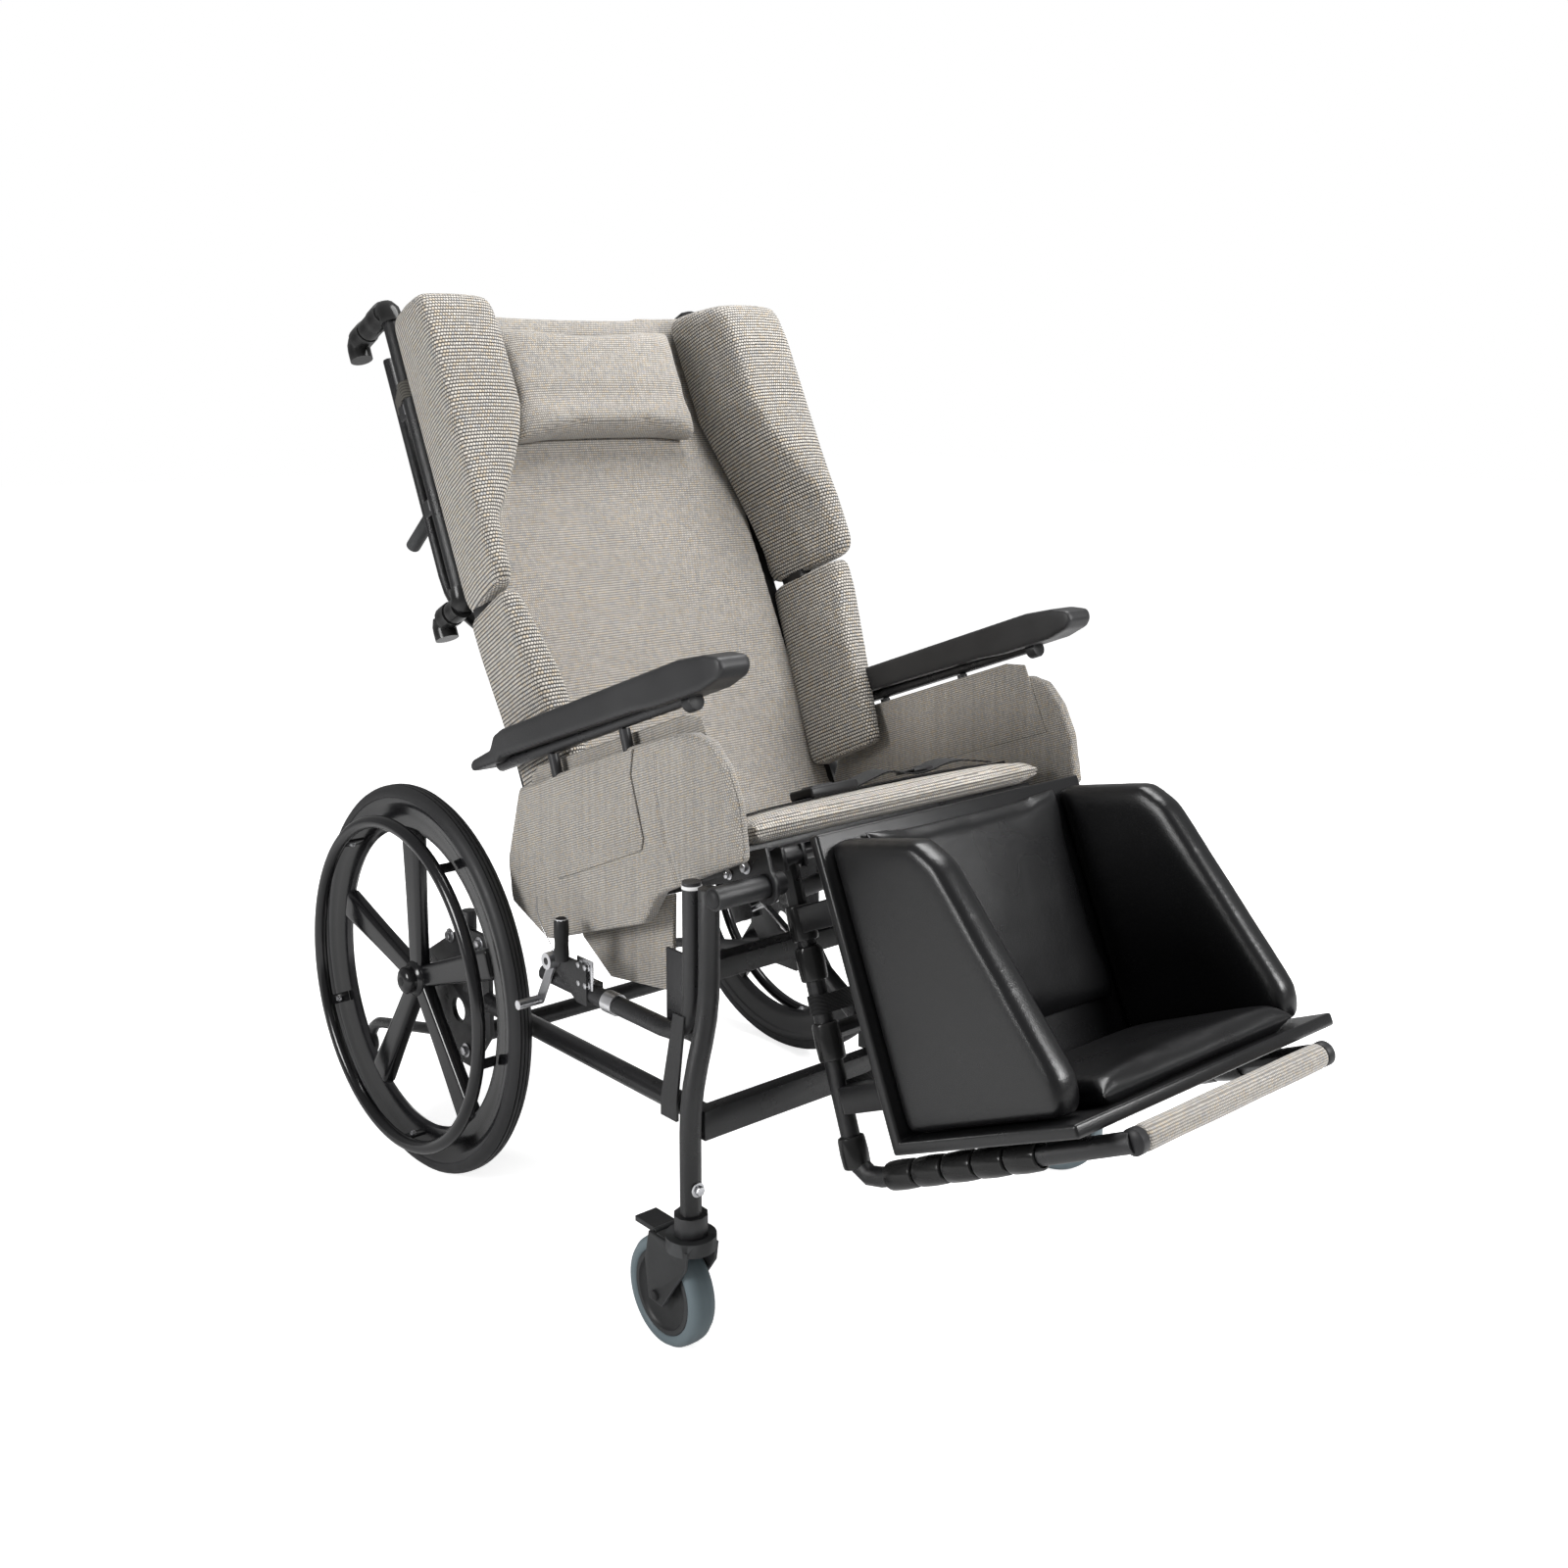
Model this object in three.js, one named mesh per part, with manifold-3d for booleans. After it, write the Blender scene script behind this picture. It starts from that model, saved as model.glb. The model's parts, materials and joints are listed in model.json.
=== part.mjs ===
// Tilt-in-space wheelchair with elevating leg rest, reclining wing back and mag wheels.
// Lengths are millimetres and angles degrees. x runs to the user's left, y to the rear and z up.
// In the base, y is measured from the rear axle. In the seat, from the tilt axis, square to its own tilt.
// In the back, from the recline axis. The chair stands on the floor, centred on its own extents.
import * as THREE from "three";
import { mergeVertices } from "three/addons/utils/BufferGeometryUtils.js";
import Module from "manifold-3d";

const wasm = await Module();
wasm.setup();

// Fits between pieces
const gap = 0.3;
const runGap = 1.2;
const overrun = 5;
const weldDistance = 0.001;

// Rear wheels
const wheelDiameter = 610;
const wheelTrack = 755;
const tyreWidth = 35;
const tyreDepth = 20;
const treadWidth = 18;
const rimDepth = 52;
const rimWidth = 30;
const rimLip = 9;
const rimShoulderShare = 0.45;
const tyreShoulder = 5;
const spokeCount = 5;
const spokeRootWidth = 30;
const spokeTipWidth = 40;
const spokeThickness = 24;
const spokeRound = 6;
const firstSpokeAngle = 20;
const hubDiameter = 56;
const hubCapDiameter = 42;
const hubReach = 34.5;
const hubDome = 8;
const hubClearance = 2;
const axleDiameter = 12.7;
const handrimDiameter = 526;
const handrimTubeDiameter = 20;
const handrimOffset = 45.6;
const handrimTabCount = 5;
const firstTabAngle = -14;
const handrimTabWidth = 16;
const wheelSides = 40;
const hubSides = 16;

// Casters
const casterDiameter = 143.6;
const casterTyreWidth = 38.6;
const casterTyreDepth = 17;
const casterTrack = 777.6;
const casterTrail = 41;
const casterPinDiameter = 10;
const casterRingDiameter = 66;
const casterRingHeight = 15;
const forkWall = 6;
const forkTop = 163;
const stemDiameter = 16;
const stemLength = 50;
const stemHousing = 26;
const forkReach = 66;
const forkOutlineShares = [
  [-0.36, 0.94],
  [0.84, 0.94],
  [0.97, 0.7],
  [0.86, 0.38],
  [0.42, 0.37],
  [-0.3, 0.78],
];
const casterHubDiameter = 30;
const casterDish = 5;
const casterTread = 20;
const casterShoulder = 7;
const pedalHingeY = 51;
const pedalHingeHeight = 151;
const pedalWidth = 34;
const pedalLength = 46;
const pedalThickness = 7;
const pedalHubDiameter = 9.8;
const farCasterTurn = 33;
const casterSides = 20;

// Base frame
const wheelbase = 705.6;
const mainTubeDiameter = 28.6;
const postTopHeight = 606;
const postTopHalfSpan = 357;
const postKneeTop = 452;
const postKneeFoot = 340;
const sideTubeDiameter = 20;
const sideTubeHalfSpan = 354;
const sideTubeFront = -667;
const sideTubeRear = -318;
const sideTubeLow = 396;
const sideTubeRearTop = 540;
const tubeBend = 45;
const sideTubeBend = 63;
// How much of a run a bend may use up.
const bendShare = 0.49;
const railHalfSpan = 342;
const railHeight = 296;
const strapWidth = 34;
const strapThickness = 4;
const crossDepth = 22;
const crossHeight = 38;
const crossTop = 322;
const kneeClearance = 0.85;
const upperBarY = -612;
const upperBarHeight = 461;
const upperBarSize = 28;
const upperPlateTop = 500;
const plateThickness = 8;
const axlePlateHalfSpan = 335;
const axlePlateFront = -142;
const axlePlateRear = 40;
const axlePlateTop = 395;
const axlePlateFoot = 172;
const axlePlateHole = 38;
const axlePlateHoleY = -48;
const axlePlateHoleHeight = 256;
const axlePlateShares = [
  [0, 1],
  [0.42, 1],
  [1, 0.72],
  [1, 0.28],
  [0.7, 0],
  [0.3, 0],
  [0, 0.3],
];
const uprightDiameter = 24;
const uprightY = -81;
const uprightTop = 424;
const rearTubeY = -104;
const rearTubeHeight = 232;
const antiTipDiameter = 19;
const antiTipReach = 270;
const antiTipHeight = 138;
const antiTipRise = 74;
const antiTipKneeShare = 0.6;
const antiTipWheelDiameter = 50;
const antiTipWheelWidth = 18;
const antiTipWheelHeight = 70;

// Wheel locks
const lockClampY = -436;
const lockPivotY = -372;
const lockPivotHeight = 430;
const lockShoeY = -336;
const lockShoeHeight = 362;
const lockShoeDiameter = 14;
const lockShoeLength = 40;
const lockGripDiameter = 18;
const lockArmDiameter = 14.4;
const lockGripTop = 498;
const lockGripY = -403;
const lockPlateThickness = 4;
const lockClampWidth = 24;
const lockPinDiameter = 10;
const lockHubDiameter = 24;
const lockGripLength = 56;
const lockHubOuter = 384;

// Tilt axis and seat frame
const tiltAxisY = -735;
const tiltAxisHeight = 602;
const tiltTubeDiameter = 30;
const tiltTubeLength = 748;
const tiltStubInner = 264;
const tiltSocketWidth = 20;
const tiltSocketHeight = 14;
const tiltAngle = 20;
const seatRailHalfSpan = 288;
const seatRailThickness = 6;
const seatRailFoot = 15;
const seatRailTop = 47;
const seatRailFront = -18;
const seatRailRear = 522;
const seatCrossDiameter = 22;
const seatCrossHeight = 31;
const seatCrossFront = 62;
const standoffDiameter = 16;
const standoffPlaces = [130, 420];
const seatPanTop = 54;
const seatPanFront = 50;
const seatPanRear = 400;
const hangerRound = 24;

// Seat cushion, side panels and belt
const seatWidth = 560;
const seatDepth = 402;
const seatFront = 10;
const seatThickness = 36;
const seatCrown = 8;
const cushionSeam = 9;
const panelInner = 311;
const panelTopShare = 0.4;
const panelOuter = 341;
const panelFront = -32;
const panelRear = 545;
const panelHeight = 232;
const panelFoot = -15;
const panelFlare = 24;
const panelFlareLength = 58;
const panelRound = 11;
const panelSwells = [0, 1.2, 3, 1.2];
const sidePanelShares = [
  [0, 0.4, 0.62, 0.5],
  [0.016, 0.27, 0.76, 0.8],
  [0.05, 0.22, 0.88, 1],
  [0.1, 0.205, 0.96, 1],
  [0.17, 0.19, 0.99, 0.94],
  [0.26, 0.17, 1, 0.9],
  [0.34, 0.15, 1, 0.9],
  [0.44, 0.0, 0.995, 0.9],
  [0.6, 0.0, 0.985, 0.9],
  [0.76, 0.0, 0.975, 0.9],
  [0.86, 0.02, 0.965, 0.9],
  [0.93, 0.16, 0.84, 0.8],
  [0.98, 0.28, 0.66, 0.6],
  [1, 0.34, 0.5, 0.4],
];
const skirtHalfSpan = 288;
const skirtThickness = 7;
const skirtDrop = 128;
const skirtKneeShare = 0.75;
const skirtCutShare = 0.4;
const skirtFront = 196;
const skirtRear = 440;
const beltWidth = 38;
const beltThickness = 2.5;
const beltRise = 1.6;
const beltY = 105;
const beltStations = 18;
const beltReachShare = 0.9;
const buckleLength = 84;
const buckleWidth = 46;
const buckleThickness = 12;
const drawShare = 0.03;
const endShares = [
  [0, 1],
  [0.3, 0.3],
  [1, 0],
];
const buckleX = -66;

// Arms
const armHalfSpan = 328.5;
const armPadWidth = 59;
const armPadFront = -52;
const armPadRear = 447;
const armTailRear = 531;
const armPadFoot = 262;
const armPadTop = 303;
const armTubeDiameter = 19;
const armTubeFront = 7;
const armTubeRear = 499;
const armPostDiameter = 10;
const armPostFront = 173;
const armPostRear = 358;
const armPostFoot = 96;
const armPadWall = 5;
const armPadRound = 3;
const armPostHalfSpan = 331;
const armPadShares = [
  [1, 0],
  [1, 0.3],
  [0.87, 0.34],
  [0.855, 0.9],
  [0.1, 1],
  [0, 0.62],
  [0, 0.2],
  [0.09, 0],
];

// Back
const reclineAxisY = 504;
const reclineAxisHeight = 45;
const reclineAngle = 5.6;
const caneHalfSpan = 270;
const caneDiameter = 20;
const caneKnee = 405;
const caneTop = 930;
const caneSetback = 100;
const hingeHubDiameter = 32;
const hingePinDiameter = 12;
const hingeHubLength = 19;
const backTubeHalfSpan = 300;
const backTubeDiameter = 25;
const backTubeTop = 995;
const backTubeFoot = 470;
const hookReach = 122;
const hookDrop = 44;
const lowHookReach = 79;
const lowHookDrop = 30;
const backBend = 38;
const bracketHeights = [647, 813];
const bracketHeight = 24;
const backCushionWidth = 568;
const backCushionTop = 964;
const backCushionFoot = 26;
const backCushionFront = -32;
const backCushionRear = -13.5;
const backCrown = 2;
const legPadCrown = 4;
const pillowCrown = 6;
const backCrossFoot = 100;
const backCrossTop = 890;
const pillowWidth = 372;
const pillowTop = 912;
const pillowFoot = 702;
const pillowThickness = 54;
const wingFoot = 440;
const wingTop = 950;
const wingTopFall = 40;
const wingInnerTop = 206;
const wingInnerFoot = 280;
const wingRidgeTop = 250;
const wingRidgeFoot = 348;
const wingOuter = 358;
const wingOuterRear = 318;
const wingFront = -184;
const wingRound = 24;
const wingSwells = [5, 3, 4, 0, 0, 0];
const wingShares = [
  [0, 0, 0, 1],
  [0.1, 0.1, 0, 1],
  [0.22, 0.28, 0.02, 1],
  [0.3, 0.42, 0.3, 1],
  [0.4, 0.6, 0.6, 1],
  [0.5, 0.8, 0.85, 1],
  [0.6, 0.98, 1, 1],
  [0.85, 1, 1, 1],
  [1, 1, 1, 0.96],
];
const bolsterFoot = 112;
const bolsterTop = 434;
const bolsterInnerFoot = 240;
const bolsterInnerTop = 280;
const bolsterOuterTop = 345;
const bolsterOuterFoot = 295;
const bolsterFront = -170;
const bolsterRound = 12;
const bolsterLeanShare = 0.5;
const bolsterSwells = [3, 2, 0, 0, 0, 0];
const bolsterShares = [
  [0, 0],
  [0.2, 0],
  [0.4, 0],
  [0.58, 0.02],
  [0.68, 0.5],
  [0.8, 0.9],
  [1, 1],
];

// Leg rest and foot box
const legHalfSpan = 222;
const legHingeY = 28;
const legHingeHeight = 28;
const legTubeDiameter = 26;
const legLength = 414;
const legBend = 42;
const toeHalfSpan = 188;
const toeReach = 432;
const toeRise = 34;
const toeBarDiameter = 26;
const legHubLength = 28;
const legHubDiameter = 32;
const clevisThickness = 6;
const legCrossShare = 0.55;
const boxCornerY = -109;
const boxCornerHeight = -376;
const boxLean = 3.2;
const boxHalfWidth = 253;
const boxHeight = 396;
const boxDepth = 306;
const boardThickness = 16;
const boxMountHeights = [70, 300];
const boxMountSize = 34;
const calfPadWidth = 384;
const calfPadFoot = 78;
const calfPadThickness = 20;
const footPadWidth = 390;
const footPadThickness = 32;
const sidePadInner = 196;
const sidePadOuter = 238;
const sidePadRound = 8;
const sidePadShares = [
  [0, 0.965],
  [0.5, 0.885],
  [0.6, 0.8],
  [0.915, 0.11],
  [0.885, 0.01],
  [0, 0.01],
];

// Gas struts
const tiltStrutX = -60;
const reclineStrutX = 60;
const strutDiameter = 28;
const strutRodDiameter = 10;
const strutBody = 186;
const strutNeck = 30;
const strutBoreFoot = 36;
const strutFootY = -690;
const strutFootHeight = 342;
const strutHeadY = 330;
const strutHeadHeight = 2;
const tiltStrutTravel = 68;
const strutEyeDiameter = 26;
const strutEyeWidth = 12;
const strutPinDiameter = 8;
const strutSlack = 5;
const reclineStrutFootY = 232;
const reclineStrutFootHeight = -12;
const reclineStrutHeadY = 20;
const reclineStrutHeadHeight = -90;
const reclineStrutBody = 172;
const reclineStrutTravel = 58;

const halfTrack = wheelTrack / 2;
const axleHeight = wheelDiameter / 2;
const rimRadius = wheelDiameter / 2 - tyreDepth;
const postY = -wheelbase;
const sides = [
  { sign: -1, name: "right", turn: 0 },
  { sign: 1, name: "left", turn: farCasterTurn },
];

// Solids
class Route extends THREE.Curve {
  constructor(stations) {
    super();
    this.stations = stations;
  }
  getPoint(t) {
    const step = t * (this.stations.length - 1);
    const i = Math.min(Math.floor(step), this.stations.length - 2);
    return this.stations[i].clone().lerp(this.stations[i + 1], step - i);
  }
  getPointAt(u) {
    return this.getPoint(u);
  }
  getTangentAt(u) {
    const last = this.stations.length - 1;
    const i = Math.round(u * last);
    const here = this.stations[i];
    const tangent = new THREE.Vector3();
    if (i > 0) tangent.add(here.clone().sub(this.stations[i - 1]).normalize());
    if (i < last) tangent.add(this.stations[i + 1].clone().sub(here).normalize());
    return tangent.normalize();
  }
}

function at(x, y, z) {
  return new THREE.Vector3(x, y, z);
}

function radians(degrees) {
  return THREE.MathUtils.degToRad(degrees);
}

function signedVolume(points, triangles) {
  const [a, b, c] = [at(0, 0, 0), at(0, 0, 0), at(0, 0, 0)];
  let volume = 0;
  for (let i = 0; i < triangles.length; i += 3) {
    a.fromArray(points, 3 * triangles[i]);
    b.fromArray(points, 3 * triangles[i + 1]);
    c.fromArray(points, 3 * triangles[i + 2]);
    volume += a.dot(b.cross(c));
  }
  return volume;
}

function solidOf(geometry) {
  const bare = geometry.clone();
  for (const name of Object.keys(bare.attributes)) {
    if (name !== "position") bare.deleteAttribute(name);
  }
  const merged = mergeVertices(bare, weldDistance);
  const index = merged.index.array;
  const kept = [];
  for (let i = 0; i < index.length; i += 3) {
    const [a, b, c] = index.slice(i, i + 3);
    if (a !== b && b !== c && a !== c) kept.push(a, b, c);
  }
  const vertProperties = merged.attributes.position.array;
  if (signedVolume(vertProperties, kept) < 0) kept.reverse();
  const triVerts = new Uint32Array(kept);
  return new wasm.Manifold(new wasm.Mesh({ numProp: 3, vertProperties, triVerts }));
}

function geometryOf(solid) {
  const mesh = solid.getMesh();
  const geometry = new THREE.BufferGeometry();
  geometry.setAttribute("position", new THREE.BufferAttribute(mesh.vertProperties, mesh.numProp));
  geometry.setIndex(new THREE.BufferAttribute(mesh.triVerts, 1));
  geometry.computeVertexNormals();
  return geometry;
}

function join(...shapes) {
  return geometryOf(shapes.map(solidOf).reduce((whole, next) => whole.add(next)));
}

function cut(body, ...tools) {
  return geometryOf(tools.map(solidOf).reduce((left, tool) => left.subtract(tool), solidOf(body)));
}

function mirrored(geometry, sign) {
  return geometryOf(solidOf(geometry.clone().scale(sign, 1, 1)));
}

function polygon(count, radius, turn = 0) {
  return Array.from({ length: count }, (_, i) => {
    const angle = turn + (2 * Math.PI * i) / count;
    return new THREE.Vector2(radius * Math.cos(angle), radius * Math.sin(angle));
  });
}

// Stations along straight runs joined by curved bends.
function bent(points, bend, steps = 3) {
  const stations = [points[0]];
  for (let i = 1; i < points.length - 1; i++) {
    const back = points[i - 1].clone().sub(points[i]);
    const ahead = points[i + 1].clone().sub(points[i]);
    const reach = Math.min(bend, back.length() * bendShare, ahead.length() * bendShare);
    const start = points[i].clone().addScaledVector(back.normalize(), reach);
    const end = points[i].clone().addScaledVector(ahead.normalize(), reach);
    stations.push(...new THREE.QuadraticBezierCurve3(start, points[i], end).getPoints(steps));
  }
  stations.push(points[points.length - 1]);
  return stations;
}

function sweptThrough(stations, outline) {
  return new THREE.ExtrudeGeometry(new THREE.Shape(outline), {
    steps: stations.length - 1,
    extrudePath: new Route(stations),
  });
}

function tube(points, diameter, bend = tubeBend, count = 8) {
  return sweptThrough(bent(points, bend), polygon(count, diameter / 2));
}

function rod(from, to, diameter, count = 10) {
  const along = to.clone().sub(from);
  const shape = new THREE.CylinderGeometry(diameter / 2, diameter / 2, along.length(), count);
  shape.applyQuaternion(
    new THREE.Quaternion().setFromUnitVectors(at(0, 1, 0), along.clone().normalize()),
  );
  const middle = from.clone().lerp(to, 0.5);
  return shape.translate(middle.x, middle.y, middle.z);
}

function rodAcross(y, z, fromX, toX, diameter, count) {
  return rod(at(fromX, y, z), at(toX, y, z), diameter, count);
}

function block(fromX, toX, fromY, toY, fromZ, toZ) {
  return new THREE.BoxGeometry(toX - fromX, toY - fromY, toZ - fromZ).translate(
    (fromX + toX) / 2,
    (fromY + toY) / 2,
    (fromZ + toZ) / 2,
  );
}

// A flat piece in the y-z plane between two places along x, with its edges rounded over.
function slab(outline, fromX, toX, round = 0) {
  const shape = new THREE.Shape(outline.map(([y, z]) => new THREE.Vector2(y, z)));
  const geometry = new THREE.ExtrudeGeometry(shape, {
    depth: toX - fromX - 2 * round,
    bevelEnabled: round > 0,
    bevelThickness: round,
    bevelSize: round,
    bevelOffset: -round,
    bevelSegments: 2,
    curveSegments: 6,
  });
  geometry.applyMatrix4(
    new THREE.Matrix4().makeBasis(at(0, 1, 0), at(0, 0, 1), at(1, 0, 0)),
  );
  return geometry.translate(fromX + round, 0, 0);
}

// A profile of [radius, x] pairs turned about the x axis, with a flat facet at its lowest point.
function turned(profile, count) {
  const points = profile.map(([radius, x]) => new THREE.Vector2(radius, x));
  const geometry = new THREE.LatheGeometry([...points, points[0]], count);
  return geometry.rotateZ(-Math.PI / 2).rotateX(Math.PI / count);
}

function centreOf(points) {
  return points.reduce((sum, point) => sum.add(point), at(0, 0, 0)).divideScalar(points.length);
}

// The closed skin over a row of rings that have as many points each.
function closedSkin(rings) {
  const count = rings[0].length;
  const points = [...rings.flat(), centreOf(rings[0]), centreOf(rings[rings.length - 1])];
  const index = [];
  const first = rings.length * count;
  for (let j = 0; j < count; j++) {
    const next = (j + 1) % count;
    for (let i = 0; i < rings.length - 1; i++) {
      const [a, b] = [i * count + j, i * count + next];
      index.push(a, b, b + count, a, b + count, a + count);
    }
    const end = (rings.length - 1) * count;
    index.push(first, next, j, first + 1, end + j, end + next);
  }
  const geometry = new THREE.BufferGeometry().setFromPoints(points);
  return geometry.setIndex(index);
}

// A section with its corners rounded and its sides swollen, drawn in towards its middle by an inset.
function softRing(section, inset, round, swells) {
  const middle = centreOf(section);
  const corners = section.map((point) => {
    const inward = middle.clone().sub(point);
    const reach = Math.min(inset, inward.length() / 2);
    return point.clone().addScaledVector(inward.normalize(), reach);
  });
  return corners.flatMap((corner, i) => {
    const back = corners.at(i - 1).clone().sub(corner);
    const ahead = corners[(i + 1) % corners.length].clone().sub(corner);
    const centre = corner.clone().addScaledVector(ahead, 0.5);
    const outward = centre.clone().sub(middle).normalize();
    const reachBack = Math.min(round, back.length() / 3);
    const reachAhead = Math.min(round, ahead.length() / 3);
    const start = corner.clone().addScaledVector(back.normalize(), reachBack);
    const end = corner.clone().addScaledVector(ahead.normalize(), reachAhead);
    const turn = new THREE.QuadraticBezierCurve3(start, corner, end).getPoints(2);
    return [...turn, centre.addScaledVector(outward, swells[i])];
  });
}

// A stuffed pad through a row of sections, rounded over at both ends.
function stuffed(sections, round, swells) {
  const rings = sections.map((section) => softRing(section, 0, round, swells));
  const ends = (section, next) => {
    const along = centreOf(next).sub(centreOf(section)).normalize();
    const moved = (share) => section.map((p) => p.clone().addScaledVector(along, round * share));
    return endShares.map(([share, inset]) => softRing(moved(share), round * inset, round, swells));
  };
  const last = sections.length - 1;
  const head = ends(sections[0], sections[1]);
  const tail = ends(sections[last], sections[last - 1]).reverse();
  return closedSkin([...head, ...rings.slice(1, last), ...tail]);
}

// Height of a cushion's face over its middle plane, at two shares of its half width and half length.
function cushionRise(u, v, thickness, crown) {
  const edge = (share) => Math.cbrt(Math.max(1 - share ** 8, 0));
  const body = (thickness - cushionSeam) / 2;
  return cushionSeam / 2 + body * edge(u) * edge(v) + crown * (1 - u * u) * (1 - v * v);
}

// A cushion lying in x and y with a crown, rounded edges and sides drawn in between its corners.
function cushion({ width, length, thickness, crown, across = 10, along = 10 }) {
  const geometry = new THREE.BoxGeometry(2, 2, 2, across, along, 1);
  const position = geometry.attributes.position;
  for (let i = 0; i < position.count; i++) {
    const u = Math.sin((position.getX(i) * Math.PI) / 2);
    const v = Math.sin((position.getY(i) * Math.PI) / 2);
    const rise = cushionRise(u, v, thickness, crown);
    const height = position.getZ(i) > 0 ? rise : -thickness / 2;
    const x = (u * width * (1 - drawShare * (1 - v * v))) / 2;
    const y = (v * length * (1 - drawShare * (1 - u * u))) / 2;
    position.setXYZ(i, x, y, height);
  }
  return geometry;
}

function finish(color, roughness, metalness = 0) {
  return new THREE.MeshStandardMaterial({ color, roughness, metalness });
}

const paint = finish(0x1b1c1e, 0.45, 0.4);
const zinc = finish(0xb9bcc0, 0.3, 0.9);
const steel = finish(0xc9ccd0, 0.2, 1);
const rimPlastic = finish(0x1d1e20, 0.25);
const rubber = finish(0x6a6d70, 0.7);
const casterPlastic = finish(0x3a3c3f, 0.55);
const casterRubber = finish(0x66707a, 0.6);
const padPlastic = finish(0x2b2c2e, 0.7);
const fabric = finish(0xa69c8e, 0.95);
const vinyl = finish(0x151515, 0.5);
const webbing = finish(0x1a1a1a, 0.85);

const chair = new THREE.Group();

function piece(parent, name, geometry, material) {
  const mesh = new THREE.Mesh(geometry, material);
  mesh.name = name;
  parent.add(mesh);
  return mesh;
}

function groupAt(parent, x, y, z) {
  const group = new THREE.Group();
  group.position.set(x, y, z);
  parent.add(group);
  return group;
}

function overFlats(radius, count) {
  return radius / Math.cos(Math.PI / count);
}

// A hole that a shaft of as many sides turns in.
function boreFor(diameter, count = 10) {
  return 2 * (overFlats(diameter / 2, count) + gap);
}

// Rear wheels
function tyreShape(outer, inner, width, tread, shoulder, count) {
  const crown = overFlats(outer, count);
  return turned(
    [
      [inner, shoulder - width / 2],
      [inner, width / 2 - shoulder],
      [inner + shoulder, width / 2],
      [crown - shoulder, width / 2],
      [crown, tread / 2],
      [crown, -tread / 2],
      [crown - shoulder, -width / 2],
      [inner + shoulder, -width / 2],
    ],
    count,
  );
}

function magWheel() {
  const seat = rimRadius - gap;
  const half = rimWidth / 2;
  const rim = turned(
    [
      [seat, -half],
      [seat, half],
      [seat - rimDepth * rimShoulderShare, half],
      [seat - rimDepth, rimLip / 2],
      [seat - rimDepth, -rimLip / 2],
      [seat - rimDepth * rimShoulderShare, -half],
    ],
    wheelSides,
  );
  const root = hubDiameter / 3;
  const tip = seat - rimDepth + rimLip / 2;
  const spoke = slab(
    [
      [-spokeRootWidth / 2, root],
      [spokeRootWidth / 2, root],
      [spokeTipWidth / 2, tip],
      [-spokeTipWidth / 2, tip],
    ],
    -spokeThickness / 2,
    spokeThickness / 2,
    spokeRound,
  );
  const spokes = Array.from({ length: spokeCount }, (_, i) => {
    const angle = firstSpokeAngle + (360 * i) / spokeCount;
    return spoke.clone().rotateX(radians(90 - angle));
  });
  const inboard = -(halfTrack - axlePlateHalfSpan - plateThickness / 2 - hubClearance);
  const hub = turned(
    [
      [0, inboard],
      [hubDiameter / 2, inboard],
      [hubDiameter / 2, spokeThickness / 2],
      [hubCapDiameter / 2, rimWidth / 2],
      [hubCapDiameter / 2, hubReach - hubDome],
      [hubCapDiameter / 3, hubReach],
      [0, hubReach],
    ],
    hubSides,
  );
  const bore = rodAcross(0, 0, inboard - overrun, rimWidth / 2, boreFor(axleDiameter));
  return cut(join(rim, ...spokes, hub), bore);
}

function handrim() {
  const circle = (handrimDiameter - handrimTubeDiameter) / 2;
  const hoop = new THREE.TorusGeometry(circle, handrimTubeDiameter / 2, 8, wheelSides);
  hoop.rotateY(Math.PI / 2).rotateX(Math.PI / wheelSides).translate(handrimOffset, 0, 0);
  const half = handrimTabWidth / 2;
  const tabs = Array.from({ length: handrimTabCount }, (_, i) => {
    const angle = firstTabAngle + (360 * i) / handrimTabCount;
    const tab = block(rimWidth / 2 + gap, handrimOffset, -half, half, circle, circle + handrimTabWidth);
    return tab.rotateX(radians(90 - angle));
  });
  return join(hoop, ...tabs);
}

// Casters, which turn about a stem ahead of their wheel
function casterFork() {
  const inside = casterTyreWidth / 2 + runGap + gap;
  const outline = forkOutlineShares.map(([y, z]) => [y * forkReach, z * forkTop]);
  const legs = [-1, 1].map((sign) =>
    sign > 0
      ? slab(outline, inside, inside + forkWall, forkWall / 3)
      : slab(outline, -inside - forkWall, -inside, forkWall / 3),
  );
  const crownFoot = casterDiameter + runGap + gap;
  const crown = block(
    -inside - forkWall / 2,
    inside + forkWall / 2,
    -forkReach / 3,
    casterTrail,
    crownFoot,
    forkTop - casterRingHeight / 2,
  );
  const ring = rod(at(0, 0, crownFoot), at(0, 0, forkTop), casterRingDiameter, 24);
  const stem = rod(at(0, 0, crownFoot), at(0, 0, forkTop + stemLength), stemDiameter);
  const pinEnd = inside + forkWall;
  const pin = rodAcross(casterTrail, casterDiameter / 2, -pinEnd, pinEnd, casterPinDiameter);
  return join(ring, crown, ...legs, stem, pin);
}

function casterWheel() {
  const radius = casterDiameter / 2 - casterTyreDepth + gap;
  const half = casterTyreWidth / 2;
  const wheel = turned(
    [
      [0, -half],
      [casterHubDiameter / 2, -half],
      [casterHubDiameter / 2, casterDish - half],
      [radius - casterDish, casterDish - half],
      [radius, 2 * casterDish - half],
      [radius, half - 2 * casterDish],
      [radius - casterDish, half - casterDish],
      [casterHubDiameter / 2, half - casterDish],
      [casterHubDiameter / 2, half],
      [0, half],
    ],
    casterSides,
  );
  const bore = rodAcross(0, 0, -half - overrun, half + overrun, boreFor(casterPinDiameter));
  return cut(wheel, bore);
}

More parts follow.
